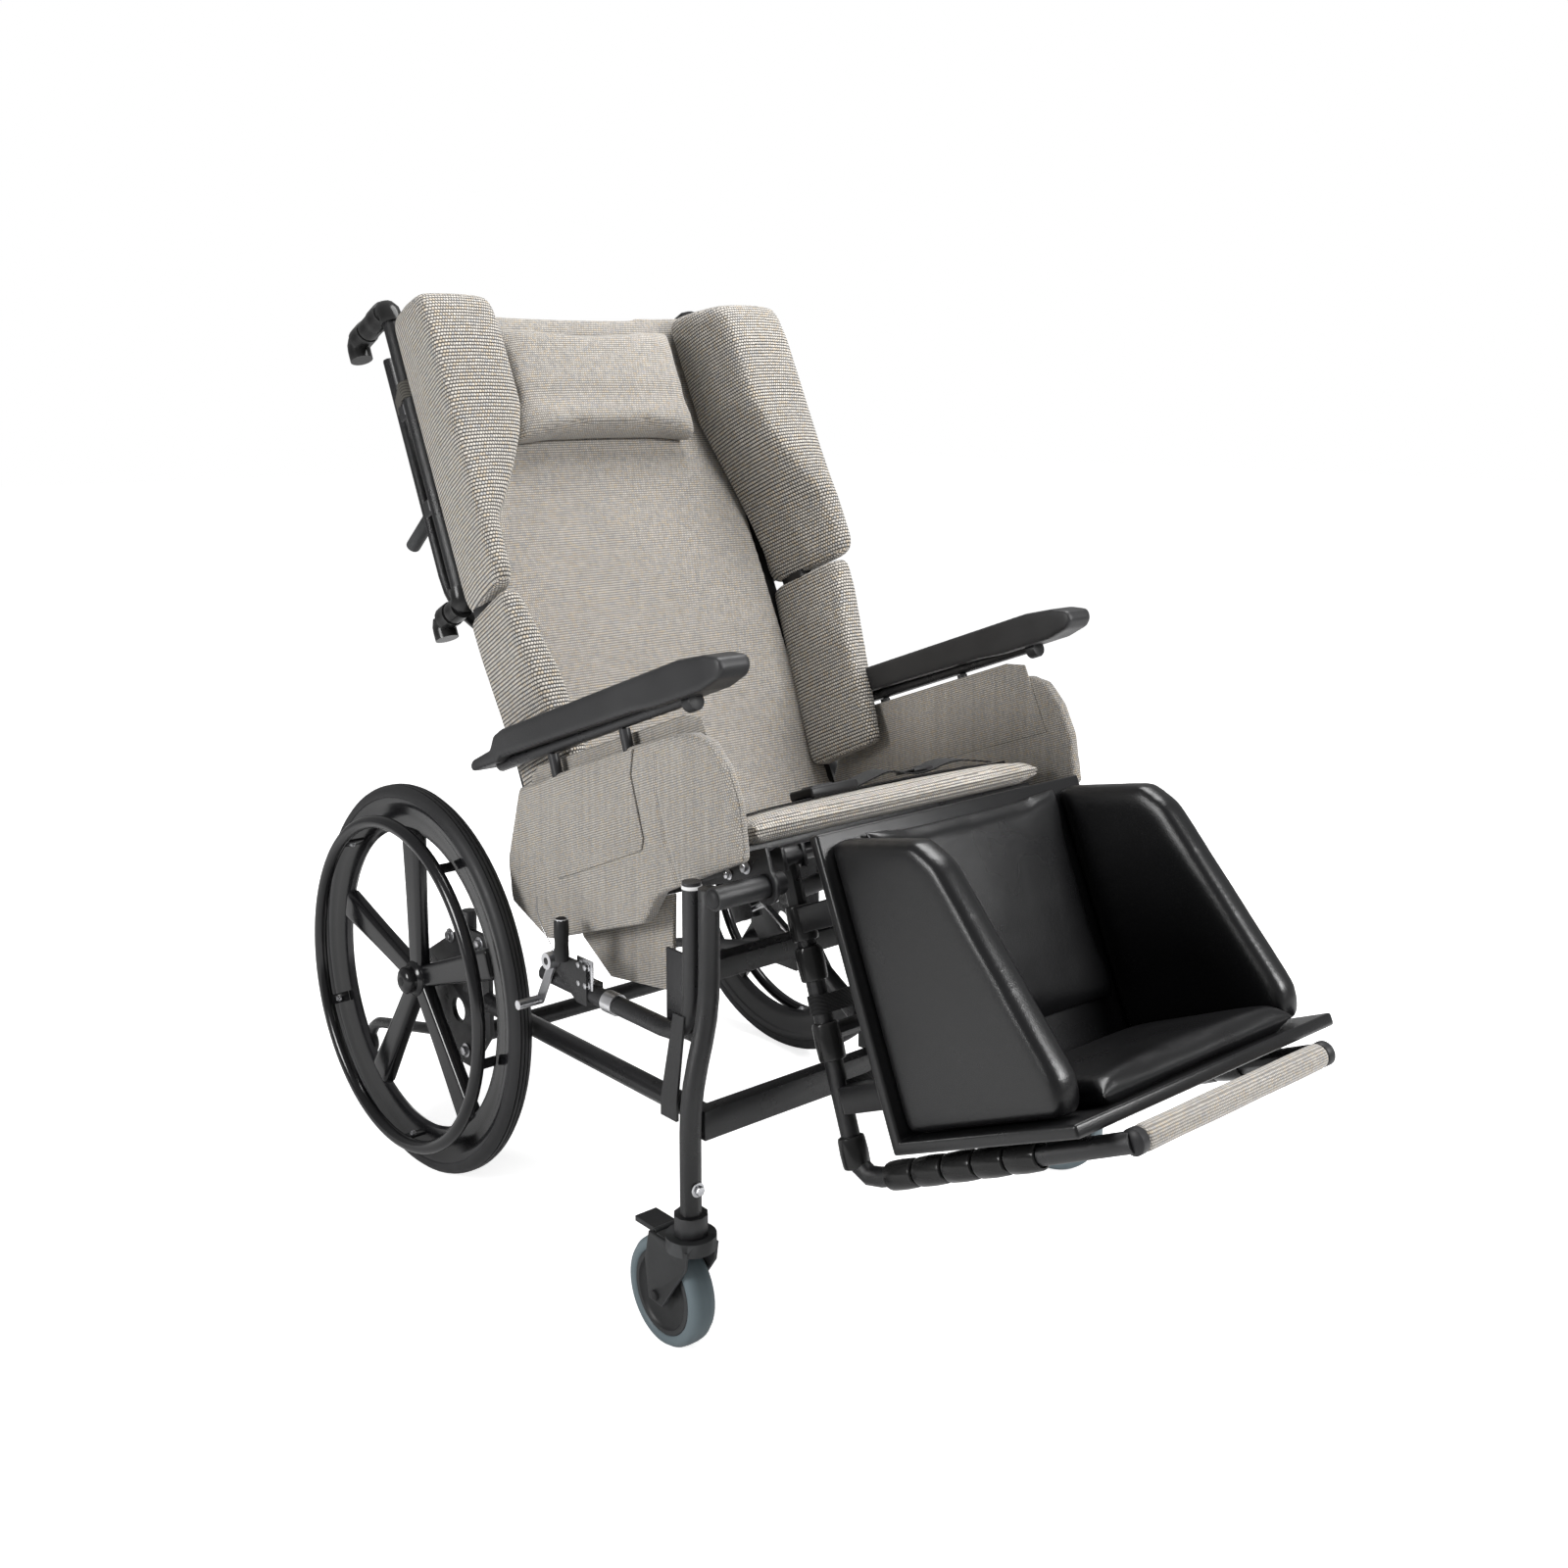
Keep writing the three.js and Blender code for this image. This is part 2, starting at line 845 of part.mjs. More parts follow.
function casterPedal() {
  const half = casterTyreWidth / 2 + runGap;
  const hub = rodAcross(0, 0, -half, half, pedalHubDiameter);
  const across = pedalWidth / 2;
  const deep = pedalThickness / 2;
  const tread = block(-across, across, 0, pedalLength, -deep, deep);
  return join(hub, tread);
}

function buildRunningGear({ sign, name, turn }) {
  const wheel = groupAt(chair, sign * halfTrack, 0, axleHeight);
  const outer = wheelDiameter / 2;
  const tyre = tyreShape(outer, rimRadius, tyreWidth, treadWidth, tyreShoulder, wheelSides);
  piece(wheel, `tyre_${name}`, mirrored(tyre, sign), rubber);
  piece(wheel, `mag_wheel_${name}`, mirrored(magWheel(), sign), rimPlastic);
  piece(wheel, `handrim_${name}`, mirrored(handrim(), sign), rimPlastic);

  const caster = groupAt(chair, (sign * casterTrack) / 2, postY, 0);
  caster.rotation.z = radians(turn);
  piece(caster, `caster_fork_${name}`, casterFork(), casterPlastic);
  const roller = groupAt(caster, 0, casterTrail, casterDiameter / 2);
  const inner = casterDiameter / 2 - casterTyreDepth;
  const band = tyreShape(
    casterDiameter / 2, inner, casterTyreWidth, casterTread, casterShoulder, casterSides,
  );
  piece(roller, `caster_wheel_${name}`, join(casterWheel(), band), casterRubber);
  const pedal = groupAt(caster, 0, pedalHingeY, pedalHingeHeight);
  piece(pedal, `caster_pedal_${name}`, casterPedal(), casterPlastic);
}

// Base frame
function frontPost() {
  const low = forkTop + runGap;
  const half = casterTrack / 2;
  const post = tube(
    [
      at(postTopHalfSpan, postY, postTopHeight),
      at(postTopHalfSpan, postY, postKneeTop),
      at(half, postY, postKneeFoot),
      at(half, postY, low),
    ],
    mainTubeDiameter,
    tubeBend,
    10,
  );
  const housing = rod(
    at(half, postY, low), at(half, postY, low + stemHousing), mainTubeDiameter + 2 * plateThickness,
  );
  const top = forkTop + stemLength + runGap;
  const bore = rod(at(half, postY, low - overrun), at(half, postY, top), boreFor(stemDiameter));
  const stub = rodAcross(
    tiltAxisY, tiltAxisHeight, tiltStubInner, tiltTubeLength / 2, tiltTubeDiameter, 16,
  );
  const socket = block(
    postTopHalfSpan - tiltSocketWidth / 2, postTopHalfSpan + tiltSocketWidth / 2,
    tiltAxisY, postY, tiltAxisHeight - tiltSocketHeight, tiltAxisHeight,
  );
  return cut(join(post, housing, stub, socket), bore);
}

function sideTube() {
  const x = sideTubeHalfSpan;
  return tube(
    [
      at(x, sideTubeFront, postTopHeight - gap),
      at(x, sideTubeFront, sideTubeLow),
      at(x, sideTubeRear, sideTubeLow),
      at(x, sideTubeRear, sideTubeRearTop),
    ],
    sideTubeDiameter,
    sideTubeBend,
  );
}

function lowerRail() {
  const front = postY + crossDepth / 2 + gap;
  const rail = tube(
    [at(railHalfSpan, front, railHeight), at(railHalfSpan, axlePlateFront - gap, railHeight)],
    mainTubeDiameter,
    tubeBend,
    10,
  );
  return join(rail, frameStrap());
}

// The flat strap outside the tubes that hangs the rail from the side tube.
function frameStrap() {
  const inner = sideTubeHalfSpan + sideTubeDiameter / 2 + gap;
  const top = sideTubeLow + strapWidth;
  const rear = sideTubeFront + strapWidth;
  const outline = [
    [rear - strapWidth, top],
    [rear - strapWidth / 3, top],
    [rear + strapWidth / 2, railHeight + strapWidth / 3],
    [rear + strapWidth / 2, railHeight - strapWidth / 3],
    [rear - strapWidth / 2, railHeight - strapWidth / 3],
    [rear - strapWidth / 2, railHeight + strapWidth / 2],
  ];
  const strap = slab(outline, inner, inner + strapThickness);
  const bolt = rodAcross(rear, railHeight, railHalfSpan, inner + strapThickness, strapWidth / 2);
  return join(strap, bolt);
}

function axlePlate() {
  const inner = axlePlateHalfSpan - plateThickness / 2;
  const outline = axlePlateShares.map(([y, z]) => [
    axlePlateFront + y * (axlePlateRear - axlePlateFront),
    axlePlateFoot + z * (axlePlateTop - axlePlateFoot),
  ]);
  const plate = slab(outline, inner, inner + plateThickness);
  const hole = rodAcross(
    axlePlateHoleY, axlePlateHoleHeight, inner - overrun, inner + plateThickness + overrun, axlePlateHole, 20,
  );
  const upright = rod(
    at(axlePlateHalfSpan, uprightY, railHeight), at(axlePlateHalfSpan, uprightY, uprightTop), uprightDiameter,
  );
  const axle = rodAcross(0, axleHeight, inner, halfTrack + rimWidth / 2 - runGap, axleDiameter);
  return join(cut(plate, hole), upright, axle);
}

function antiTip() {
  const x = axlePlateHalfSpan - plateThickness / 2 - gap - antiTipDiameter / 2;
  const end = antiTipReach + antiTipWheelDiameter / 2;
  const bar = tube(
    [
      at(x, uprightY + uprightDiameter, antiTipHeight + antiTipRise),
      at(x, axlePlateRear * 2, antiTipHeight + antiTipRise * antiTipKneeShare),
      at(x, antiTipReach, antiTipHeight),
      at(x, end, antiTipWheelHeight + antiTipWheelDiameter / 2),
    ],
    antiTipDiameter,
  );
  const pinY = end;
  const pinHeight = antiTipWheelHeight + antiTipWheelDiameter / 2;
  const wheel = antiTipWheel().translate(x, pinY, pinHeight);
  return join(bar, wheel);
}

function antiTipWheel() {
  const radius = antiTipWheelDiameter / 2;
  const half = antiTipWheelWidth / 2;
  const wheel = turned(
    [
      [0, -half],
      [radius - half / 2, -half],
      [radius, -half / 2],
      [radius, half / 2],
      [radius - half / 2, half],
      [0, half],
    ],
    20,
  );
  return wheel;
}

// Wheel lock: a clamp on the side tube and a lever whose shoe bears on the tread
function lockBracket() {
  const x = sideTubeHalfSpan;
  const wall = sideTubeDiameter / 2 + lockPlateThickness;
  const clamp = cut(
    block(
      x - wall, x + wall, lockClampY - lockClampWidth / 2, lockClampY + lockClampWidth / 2,
      sideTubeLow - wall, sideTubeLow + wall,
    ),
    rod(
      at(x, lockClampY - lockClampWidth, sideTubeLow), at(x, lockClampY + lockClampWidth, sideTubeLow),
      sideTubeDiameter + 2 * runGap, 16,
    ),
  );
  const outline = [
    [lockClampY - lockClampWidth / 2, sideTubeLow - wall],
    [lockClampY + lockClampWidth / 2, sideTubeLow - wall],
    [lockPivotY + lockPinDiameter, lockPivotHeight - lockPinDiameter],
    [lockPivotY + lockPinDiameter, lockPivotHeight + lockPinDiameter],
    [lockClampY - lockClampWidth / 2, lockPivotHeight + lockPinDiameter],
  ];
  const plate = slab(outline, x + wall - lockPlateThickness, x + wall);
  const pin = rodAcross(
    lockPivotY, lockPivotHeight, x + wall - lockPlateThickness, lockHubOuter, lockPinDiameter,
  );
  return join(clamp, plate, pin);
}

function lockLever() {
  const inner = sideTubeHalfSpan + sideTubeDiameter / 2 + lockPlateThickness + gap;
  const outer = lockHubOuter - gap;
  const hub = rodAcross(lockPivotY, lockPivotHeight, inner, outer, lockHubDiameter, 16);
  const arm = (y, z, width) => {
    const along = new THREE.Vector2(y - lockPivotY, z - lockPivotHeight);
    const across = new THREE.Vector2(-along.y, along.x).setLength(width / 2);
    return slab(
      [
        [lockPivotY - across.x, lockPivotHeight - across.y],
        [y - across.x, z - across.y],
        [y + across.x, z + across.y],
        [lockPivotY + across.x, lockPivotHeight + across.y],
      ],
      inner,
      inner + lockPlateThickness,
    );
  };
  const shoe = rodAcross(lockShoeY, lockShoeHeight, inner, inner + lockShoeLength, lockShoeDiameter);
  const middle = inner + lockGripDiameter / 2;
  const grip = rod(
    at(middle, lockGripY, lockGripTop - lockGripLength), at(middle, lockGripY, lockGripTop), lockGripDiameter,
  );
  const lever = join(
    hub,
    arm(lockShoeY, lockShoeHeight, lockShoeDiameter),
    arm(lockGripY, lockGripTop - lockGripLength / 2, lockArmDiameter),
    shoe,
    grip,
  );
  const bore = rodAcross(
    lockPivotY, lockPivotHeight, inner - overrun, outer + overrun, boreFor(lockPinDiameter),
  );
  return cut(lever, bore);
}

function buildBase() {
  const crossEnd = casterTrack / 2 - mainTubeDiameter / 2 - kneeClearance;
  const crossBar = block(
    -crossEnd, crossEnd, postY - crossDepth / 2, postY + crossDepth / 2, crossTop - crossHeight, crossTop,
  );
  const lug = strutLug(tiltStrutX, strutFootY, strutFootHeight, postY, crossTop - overrun, 1);
  piece(chair, "front_cross_tube", join(crossBar, ...lug), paint);
  const rearEnd = axlePlateHalfSpan - plateThickness / 2 - gap;
  piece(
    chair,
    "rear_cross_tube",
    rodAcross(rearTubeY, rearTubeHeight, -rearEnd, rearEnd, mainTubeDiameter),
    paint,
  );
  const barEnd = sideTubeHalfSpan - sideTubeDiameter / 2 - gap - strapThickness;
  const bar = block(
    -barEnd, barEnd, upperBarY - upperBarSize / 2, upperBarY + upperBarSize / 2,
    upperBarHeight - upperBarSize / 2, upperBarHeight + upperBarSize / 2,
  );
  const plates = [-1, 1].map((sign) =>
    block(
      Math.min(sign * barEnd, sign * (barEnd + strapThickness)),
      Math.max(sign * barEnd, sign * (barEnd + strapThickness)),
      sideTubeFront - sideTubeDiameter / 2, upperBarY + upperBarSize / 2,
      sideTubeLow - sideTubeDiameter / 2, upperPlateTop,
    ),
  );
  piece(chair, "upper_cross_bar", join(bar, ...plates), paint);
  for (const { sign, name } of sides) {
    piece(chair, `front_post_${name}`, mirrored(frontPost(), sign), paint);
    piece(chair, `side_tube_${name}`, mirrored(sideTube(), sign), paint);
    piece(chair, `lower_rail_${name}`, mirrored(lowerRail(), sign), paint);
    piece(chair, `axle_plate_${name}`, mirrored(axlePlate(), sign), paint);
    piece(chair, `anti_tip_${name}`, mirrored(antiTip(), sign), paint);
    piece(chair, `lock_bracket_${name}`, mirrored(lockBracket(), sign), zinc);
    piece(chair, `lock_lever_${name}`, mirrored(lockLever(), sign), paint);
  }
}

// Seat, which tilts with all that it carries
const seat = groupAt(chair, 0, tiltAxisY, tiltAxisHeight);
seat.rotation.x = -radians(tiltAngle);

function railPlate(sign) {
  const inner = seatRailHalfSpan - seatRailThickness / 2;
  const bar = block(inner, inner + seatRailThickness, seatRailFront, seatRailRear, seatRailFoot, seatRailTop);
  const collar = rodAcross(0, 0, inner, inner + seatRailThickness, 2 * hangerRound, 20);
  const neck = block(inner, inner + seatRailThickness, seatRailFront, hangerRound, 0, seatRailTop);
  const outer = inner + seatRailThickness;
  const ear = rodAcross(reclineAxisY, reclineAxisHeight, inner, outer, 2 * hangerRound, 20);
  const bore = rodAcross(
    0, 0, inner - overrun, inner + seatRailThickness + overrun, boreFor(tiltTubeDiameter, 16), 16,
  );
  const pin = rodAcross(
    reclineAxisY, reclineAxisHeight, caneHalfSpan - hingeHubLength / 2, inner + gap, hingePinDiameter,
  );
  const plate = cut(join(bar, collar, neck, ear), bore);
  return mirrored(join(plate, pin), sign);
}

function legClevis(sign) {
  const reach = legHubLength / 2 + gap;
  const outline = [
    [legHingeY - legHubDiameter / 2, legHingeHeight - legHubDiameter / 2],
    [seatCrossFront, seatCrossHeight - seatCrossDiameter / 2],
    [seatCrossFront, seatCrossHeight + seatCrossDiameter / 2],
    [legHingeY - legHubDiameter / 2, seatCrossHeight + seatCrossDiameter / 2],
  ];
  const inner = legHalfSpan - reach - clevisThickness;
  const outer = legHalfSpan + reach;
  const cheeks = [inner, outer].map((x) => slab(outline, x, x + clevisThickness));
  const pin = rodAcross(legHingeY, legHingeHeight, inner, outer + clevisThickness, hingePinDiameter);
  return mirrored(join(...cheeks, pin), sign);
}

// Two cheeks and a pin across x that carry a strut's eye.
function strutLug(x, y, z, footY, footZ, height) {
  const reach = strutEyeWidth / 2 + gap;
  const half = strutEyeDiameter / 2;
  const cheeks = [x - reach - clevisThickness, x + reach].map((from) =>
    block(
      from, from + clevisThickness, Math.min(y, footY) - half, Math.max(y, footY) + half,
      Math.min(z, footZ) - (height < 0 ? half : 0), Math.max(z, footZ) + (height > 0 ? half : 0),
    ),
  );
  const pin = rodAcross(y, z, x - reach - clevisThickness, x + reach + clevisThickness, strutPinDiameter);
  return [...cheeks, pin];
}

function buildSeat() {
  const crossEnd = seatRailHalfSpan - seatRailThickness / 2 + gap;
  const crossTubes = [seatCrossFront, reclineStrutFootY, strutHeadY].map((y) =>
    rodAcross(y, seatCrossHeight, -crossEnd, crossEnd, seatCrossDiameter),
  );
  const head = strutLug(tiltStrutX, strutHeadY, strutHeadHeight, strutHeadY, seatCrossHeight, -1);
  const foot = strutLug(
    reclineStrutX, reclineStrutFootY, reclineStrutFootHeight, reclineStrutFootY, seatCrossHeight, -1,
  );
  const panFoot = seatCrossHeight + seatCrossDiameter / 2 - gap;
  const panEnd = seatRailHalfSpan - seatRailThickness / 2;
  const pan = block(-panEnd, panEnd, seatPanFront, seatPanRear, panFoot, seatPanTop);
  const standoffs = [-1, 1].flatMap((sign) =>
    standoffPlaces.map((y) =>
      rodAcross(y, seatCrossHeight, sign * seatRailHalfSpan, sign * (panelInner - gap), standoffDiameter),
    ),
  );
  const frame = join(
    ...crossTubes, pan, railPlate(-1), railPlate(1), legClevis(-1), legClevis(1),
    ...head, ...foot, ...standoffs,
  );
  piece(seat, "seat_frame", frame, paint);
  const pad = cushion({ width: seatWidth, length: seatDepth, thickness: seatThickness, crown: seatCrown });
  pad.translate(0, seatFront + seatDepth / 2, seatPanTop + gap + seatThickness / 2);
  piece(seat, "seat_cushion", pad, fabric);
  for (const { sign, name } of sides) {
    piece(seat, `side_panel_${name}`, mirrored(sidePanel(), sign), fabric);
    piece(seat, `side_skirt_${name}`, mirrored(sideSkirt(), sign), fabric);
    buildArm(sign, name);
  }
  piece(seat, "lap_belt", lapBelt(), webbing);
}

// The padded panel beside the seat, with a thick front roll that flares over the post.
function sidePanel() {
  const length = panelRear - panelFront;
  const sections = sidePanelShares.map(([along, foot, top, wide]) => {
    const y = panelFront + along * length;
    const low = panelFoot + foot * panelHeight;
    const high = panelFoot + top * panelHeight;
    const reach = y - panelFront;
    const flare = panelFlare * Math.max(1 - reach / panelFlareLength, 0);
    const inner = panelInner + (panelOuter - panelInner) * (1 - wide) / 2;
    const outer = panelOuter - (panelOuter - panelInner) * (1 - wide) / 2;
    return [
      at(inner, y, low), at(outer + flare, y, low),
      at(outer + flare * panelTopShare, y, high), at(inner, y, high),
    ];
  });
  const panel = stuffed(sections, panelRound, panelSwells);
  const x = armPostHalfSpan;
  const bores = [armPostFront, armPostRear].map((y) =>
    rod(
      at(x, y, armPostFoot - runGap), at(x, y, panelFoot + panelHeight + overrun),
      armPostDiameter + 2 * gap, 8,
    ),
  );
  return cut(panel, ...bores);
}

function sideSkirt() {
  const top = seatRailFoot - gap;
  const outline = [
    [skirtFront, top],
    [skirtRear, top],
    [skirtRear, top - skirtDrop * (1 - skirtKneeShare)],
    [skirtRear - skirtDrop * skirtCutShare, top - skirtDrop * skirtKneeShare],
    [skirtFront + skirtDrop * skirtCutShare, top - skirtDrop],
  ];
  return slab(outline, skirtHalfSpan - skirtThickness / 2, skirtHalfSpan + skirtThickness / 2);
}

// Height of the cushion's face under the belt, at a share of its half width.
function beltSurface(share) {
  const v = (beltY - seatFront - seatDepth / 2) / (seatDepth / 2);
  return seatPanTop + gap + seatThickness / 2 + cushionRise(share, v, seatThickness, seatCrown);
}

function lapBelt() {
  const rise = beltRise + beltThickness / 2;
  const end = seatWidth / 2 + rise;
  const reach = (share) => (share * seatWidth) / 2;
  const stations = [at(-end, beltY, seatPanTop), at(-end, beltY, beltSurface(beltReachShare) + rise)];
  for (let i = 0; i <= beltStations; i++) {
    const share = beltReachShare * ((2 * i) / beltStations - 1);
    stations.push(at(reach(share), beltY, beltSurface(share) + rise));
  }
  stations.push(at(end, beltY, beltSurface(beltReachShare) + rise), at(end, beltY, seatPanTop));
  const strap = sweptThrough(stations, strapOutline());
  const foot = beltSurface(0) + beltRise;
  const buckle = block(
    buckleX - buckleLength / 2, buckleX + buckleLength / 2, beltY - buckleWidth / 2, beltY + buckleWidth / 2,
    foot, foot + buckleThickness,
  );
  return join(strap, buckle);
}

function strapOutline() {
  const [thin, wide] = [beltThickness / 2, beltWidth / 2];
  return [
    new THREE.Vector2(-wide, -thin),
    new THREE.Vector2(wide, -thin),
    new THREE.Vector2(wide, thin),
    new THREE.Vector2(-wide, thin),
  ];
}

// Arms, which slide up and down on two posts in the side panel
function buildArm(sign, name) {
  const x = armPostHalfSpan;
  const height = armPadFoot - gap - armTubeDiameter / 2;
  const bar = rod(at(x, armTubeFront, height), at(x, armTubeRear, height), armTubeDiameter);
  const posts = [armPostFront, armPostRear].map((y) =>
    rod(at(x, y, armPostFoot), at(x, y, height), armPostDiameter, 8),
  );
  piece(seat, `arm_tube_${name}`, mirrored(join(bar, ...posts), sign), paint);
  piece(seat, `arm_pad_${name}`, mirrored(armPad(), sign), padPlastic);
}

function armPad() {
  const rise = armPadTop - armPadFoot;
  const outline = armPadShares.map(([y, z]) => [
    armPadFront + y * (armTailRear - armPadFront),
    armPadFoot + z * rise,
  ]);
  const half = armPadWidth / 2;
  const shell = slab(outline, armHalfSpan - half, armHalfSpan + half, armPadRound);
  const hollow = block(
    armHalfSpan - half + armPadWall, armHalfSpan + half - armPadWall,
    armTubeFront + armPadWall, armPadRear - armPadWall, armPadFoot - overrun, armPadFoot + rise / 2,
  );
  return cut(shell, hollow);
}

// Back, which reclines on the rear of the seat frame
const back = groupAt(seat, 0, reclineAxisY, reclineAxisHeight);
back.rotation.x = -radians(reclineAngle);

function backCane(sign) {
  const x = caneHalfSpan;
  const cane = tube(
    [
      at(x, 0, 0),
      at(x, 0, caneKnee),
      at(x, caneSetback, caneKnee + caneSetback),
      at(x, caneSetback, caneTop),
    ],
    caneDiameter,
  );
  const half = hingeHubLength / 2;
  const hub = rodAcross(0, 0, x - half, x + half, hingeHubDiameter, 16);
  const bore = rodAcross(0, 0, x - half - overrun, x + half + overrun, boreFor(hingePinDiameter));
  return mirrored(cut(join(cane, hub), bore), sign);
}

function backTube() {
  const x = backTubeHalfSpan;
  return tube(
    [
      at(x, hookReach, backTubeTop - hookDrop),
      at(x, hookReach, backTubeTop),
      at(x, 0, backTubeTop),
      at(x, 0, backTubeFoot),
      at(x, lowHookReach, backTubeFoot),
      at(x, lowHookReach, backTubeFoot - lowHookDrop),
    ],
    backTubeDiameter,
    backBend,
    10,
  );
}

function backBrackets() {
  const inner = caneHalfSpan + caneDiameter / 2 + gap;
  return bracketHeights.map((height) =>
    block(
      inner, backTubeHalfSpan - backTubeDiameter / 4, -backTubeDiameter / 3, caneSetback + caneDiameter / 3,
      height - bracketHeight / 2, height + bracketHeight / 2,
    ),
  );
}

// A row of sections between two heights of the back, from the inner fold out to its front and rear.
function wing() {
  const rear = backCushionFront - gap - backCrown / 2;
  const outerRear = -backTubeDiameter / 2 - gap;
  const side = backCushionWidth / 2 + gap + wingRound / 4;
  const sections = wingShares.map(([rise, fold, spread, deep]) => {
    const z = wingFoot + rise * (wingTop - wingFoot);
    const low = z - rise * wingTopFall;
    const inner = THREE.MathUtils.lerp(wingInnerFoot, wingInnerTop, fold);
    const ridge = THREE.MathUtils.lerp(wingRidgeFoot, wingRidgeTop, spread);
    const front = rear + (wingFront - rear) * deep;
    return [
      at(inner, rear, z),
      at(ridge - wingRound, front, low),
      at(wingOuter, front, low),
      at(wingOuterRear, outerRear, z),
      at(side, outerRear, z),
      at(side, rear, z),
    ];
  });
  return stuffed(sections, wingRound, wingSwells);
}

function bolster() {
  const rear = backCushionFront - 2 * gap;
  const outerRear = -backTubeDiameter / 2 - gap;
  const side = backCushionWidth / 2 + gap + bolsterRound / 4;
  const sections = bolsterShares.map(([rise, spread]) => {
    const z = bolsterFoot + rise * (bolsterTop - bolsterFoot);
    const inner = THREE.MathUtils.lerp(bolsterInnerFoot, bolsterInnerTop, rise);
    const outer = THREE.MathUtils.lerp(bolsterOuterFoot, bolsterOuterTop, spread);
    const frontInner = THREE.MathUtils.lerp(inner, outer, bolsterLeanShare);
    const rearSide = THREE.MathUtils.lerp(bolsterOuterFoot, wingOuterRear, spread);
    return [
      at(inner, rear, z),
      at(frontInner, bolsterFront, z),
      at(outer, bolsterFront, z),
      at(rearSide, outerRear, z),
      at(side, outerRear, z),
      at(side, rear, z),
    ];
  });
  return stuffed(sections, bolsterRound, bolsterSwells);
}

function buildBack() {
  const reach = caneHalfSpan - caneDiameter / 4;
  const crossTubes = [
    rodAcross(0, backCrossFoot, -reach, reach, caneDiameter),
    rodAcross(caneSetback, backCrossTop, -reach, reach, caneDiameter),
    rodAcross(caneSetback, caneKnee + caneSetback + tubeBend, -reach, reach, caneDiameter),
  ];
  const lever = strutLug(reclineStrutX, reclineStrutHeadY, reclineStrutHeadHeight, 0, backCrossFoot, -1);
  piece(back, "back_frame", join(backCane(-1), backCane(1), ...crossTubes, ...lever), paint);
  const thickness = backCushionRear - backCushionFront;
  const length = backCushionTop - backCushionFoot;
  const pad = cushion({ width: backCushionWidth, length, thickness, crown: backCrown });
  pad.rotateX(Math.PI / 2);
  pad.translate(0, (backCushionFront + backCushionRear) / 2, (backCushionTop + backCushionFoot) / 2);
  piece(back, "back_cushion", pad, fabric);
  const pillow = cushion({
    width: pillowWidth, length: pillowTop - pillowFoot, thickness: pillowThickness, crown: pillowCrown,
    across: 10, along: 10,
  });
  pillow.rotateX(Math.PI / 2);
  const pillowRear = backCushionFront - backCrown - gap;
  pillow.translate(0, pillowRear - pillowThickness / 2, (pillowTop + pillowFoot) / 2);
  piece(back, "headrest_pillow", pillow, fabric);
  for (const { sign, name } of sides) {
    piece(back, `back_tube_${name}`, mirrored(join(backTube(), ...backBrackets()), sign), paint);
    piece(back, `wing_${name}`, mirrored(wing(), sign), fabric);
    piece(back, `bolster_${name}`, mirrored(bolster(), sign), fabric);
  }
}

// Leg rest with its foot box, which rises about the front of the seat frame
const leg = groupAt(seat, 0, legHingeY, legHingeHeight);

function legTube(sign) {
  const x = legHalfSpan;
  const bar = tube(
    [at(x, 0, 0), at(x, 0, -legLength), at(toeHalfSpan, -toeReach, toeRise - legLength)],
    legTubeDiameter,
    legBend,
    10,
  );
  const half = legHubLength / 2;
  const hub = rodAcross(0, 0, x - half, x + half, legHubDiameter, 16);
  const bore = rodAcross(0, 0, x - half - overrun, x + half + overrun, boreFor(hingePinDiameter));
  return mirrored(cut(join(bar, hub), bore), sign);
}

function buildLegRest() {
  const crossTube = rodAcross(0, -legLength * legCrossShare, -legHalfSpan, legHalfSpan, seatCrossDiameter);
  const toeBar = rodAcross(
    -toeReach, toeRise - legLength, -toeHalfSpan, toeHalfSpan, toeBarDiameter - 2 * strapThickness,
  );
  piece(leg, "leg_frame", join(legTube(-1), legTube(1), crossTube, toeBar), paint);
}

// Foot box: an L of two boards with a pad on each and a padded cheek on either side
const footBox = groupAt(leg, 0, boxCornerY, boxCornerHeight);
footBox.rotation.x = -radians(boxLean);

function boxBase() {
  const outline = [
    [0, 0],
    [0, boxHeight],
    [-boardThickness, boxHeight],
    [-boardThickness, boardThickness],
    [-boxDepth, boardThickness],
    [-boxDepth, 0],
  ];
  const boards = slab(outline, -boxHalfWidth, boxHalfWidth);
  const mounts = [-1, 1].flatMap((sign) =>
    boxMountHeights.map((height) => {
      const lean = Math.tan(radians(boxLean)) * (height + boxMountSize / 2);
      const reach = -boxCornerY - legTubeDiameter / 2 - gap - lean;
      return block(
        sign * legHalfSpan - boxMountSize / 2, sign * legHalfSpan + boxMountSize / 2,
        -boardThickness / 2, reach,
        height - boxMountSize / 2, height + boxMountSize / 2,
      );
    }),
  );
  return join(boards, ...mounts);
}

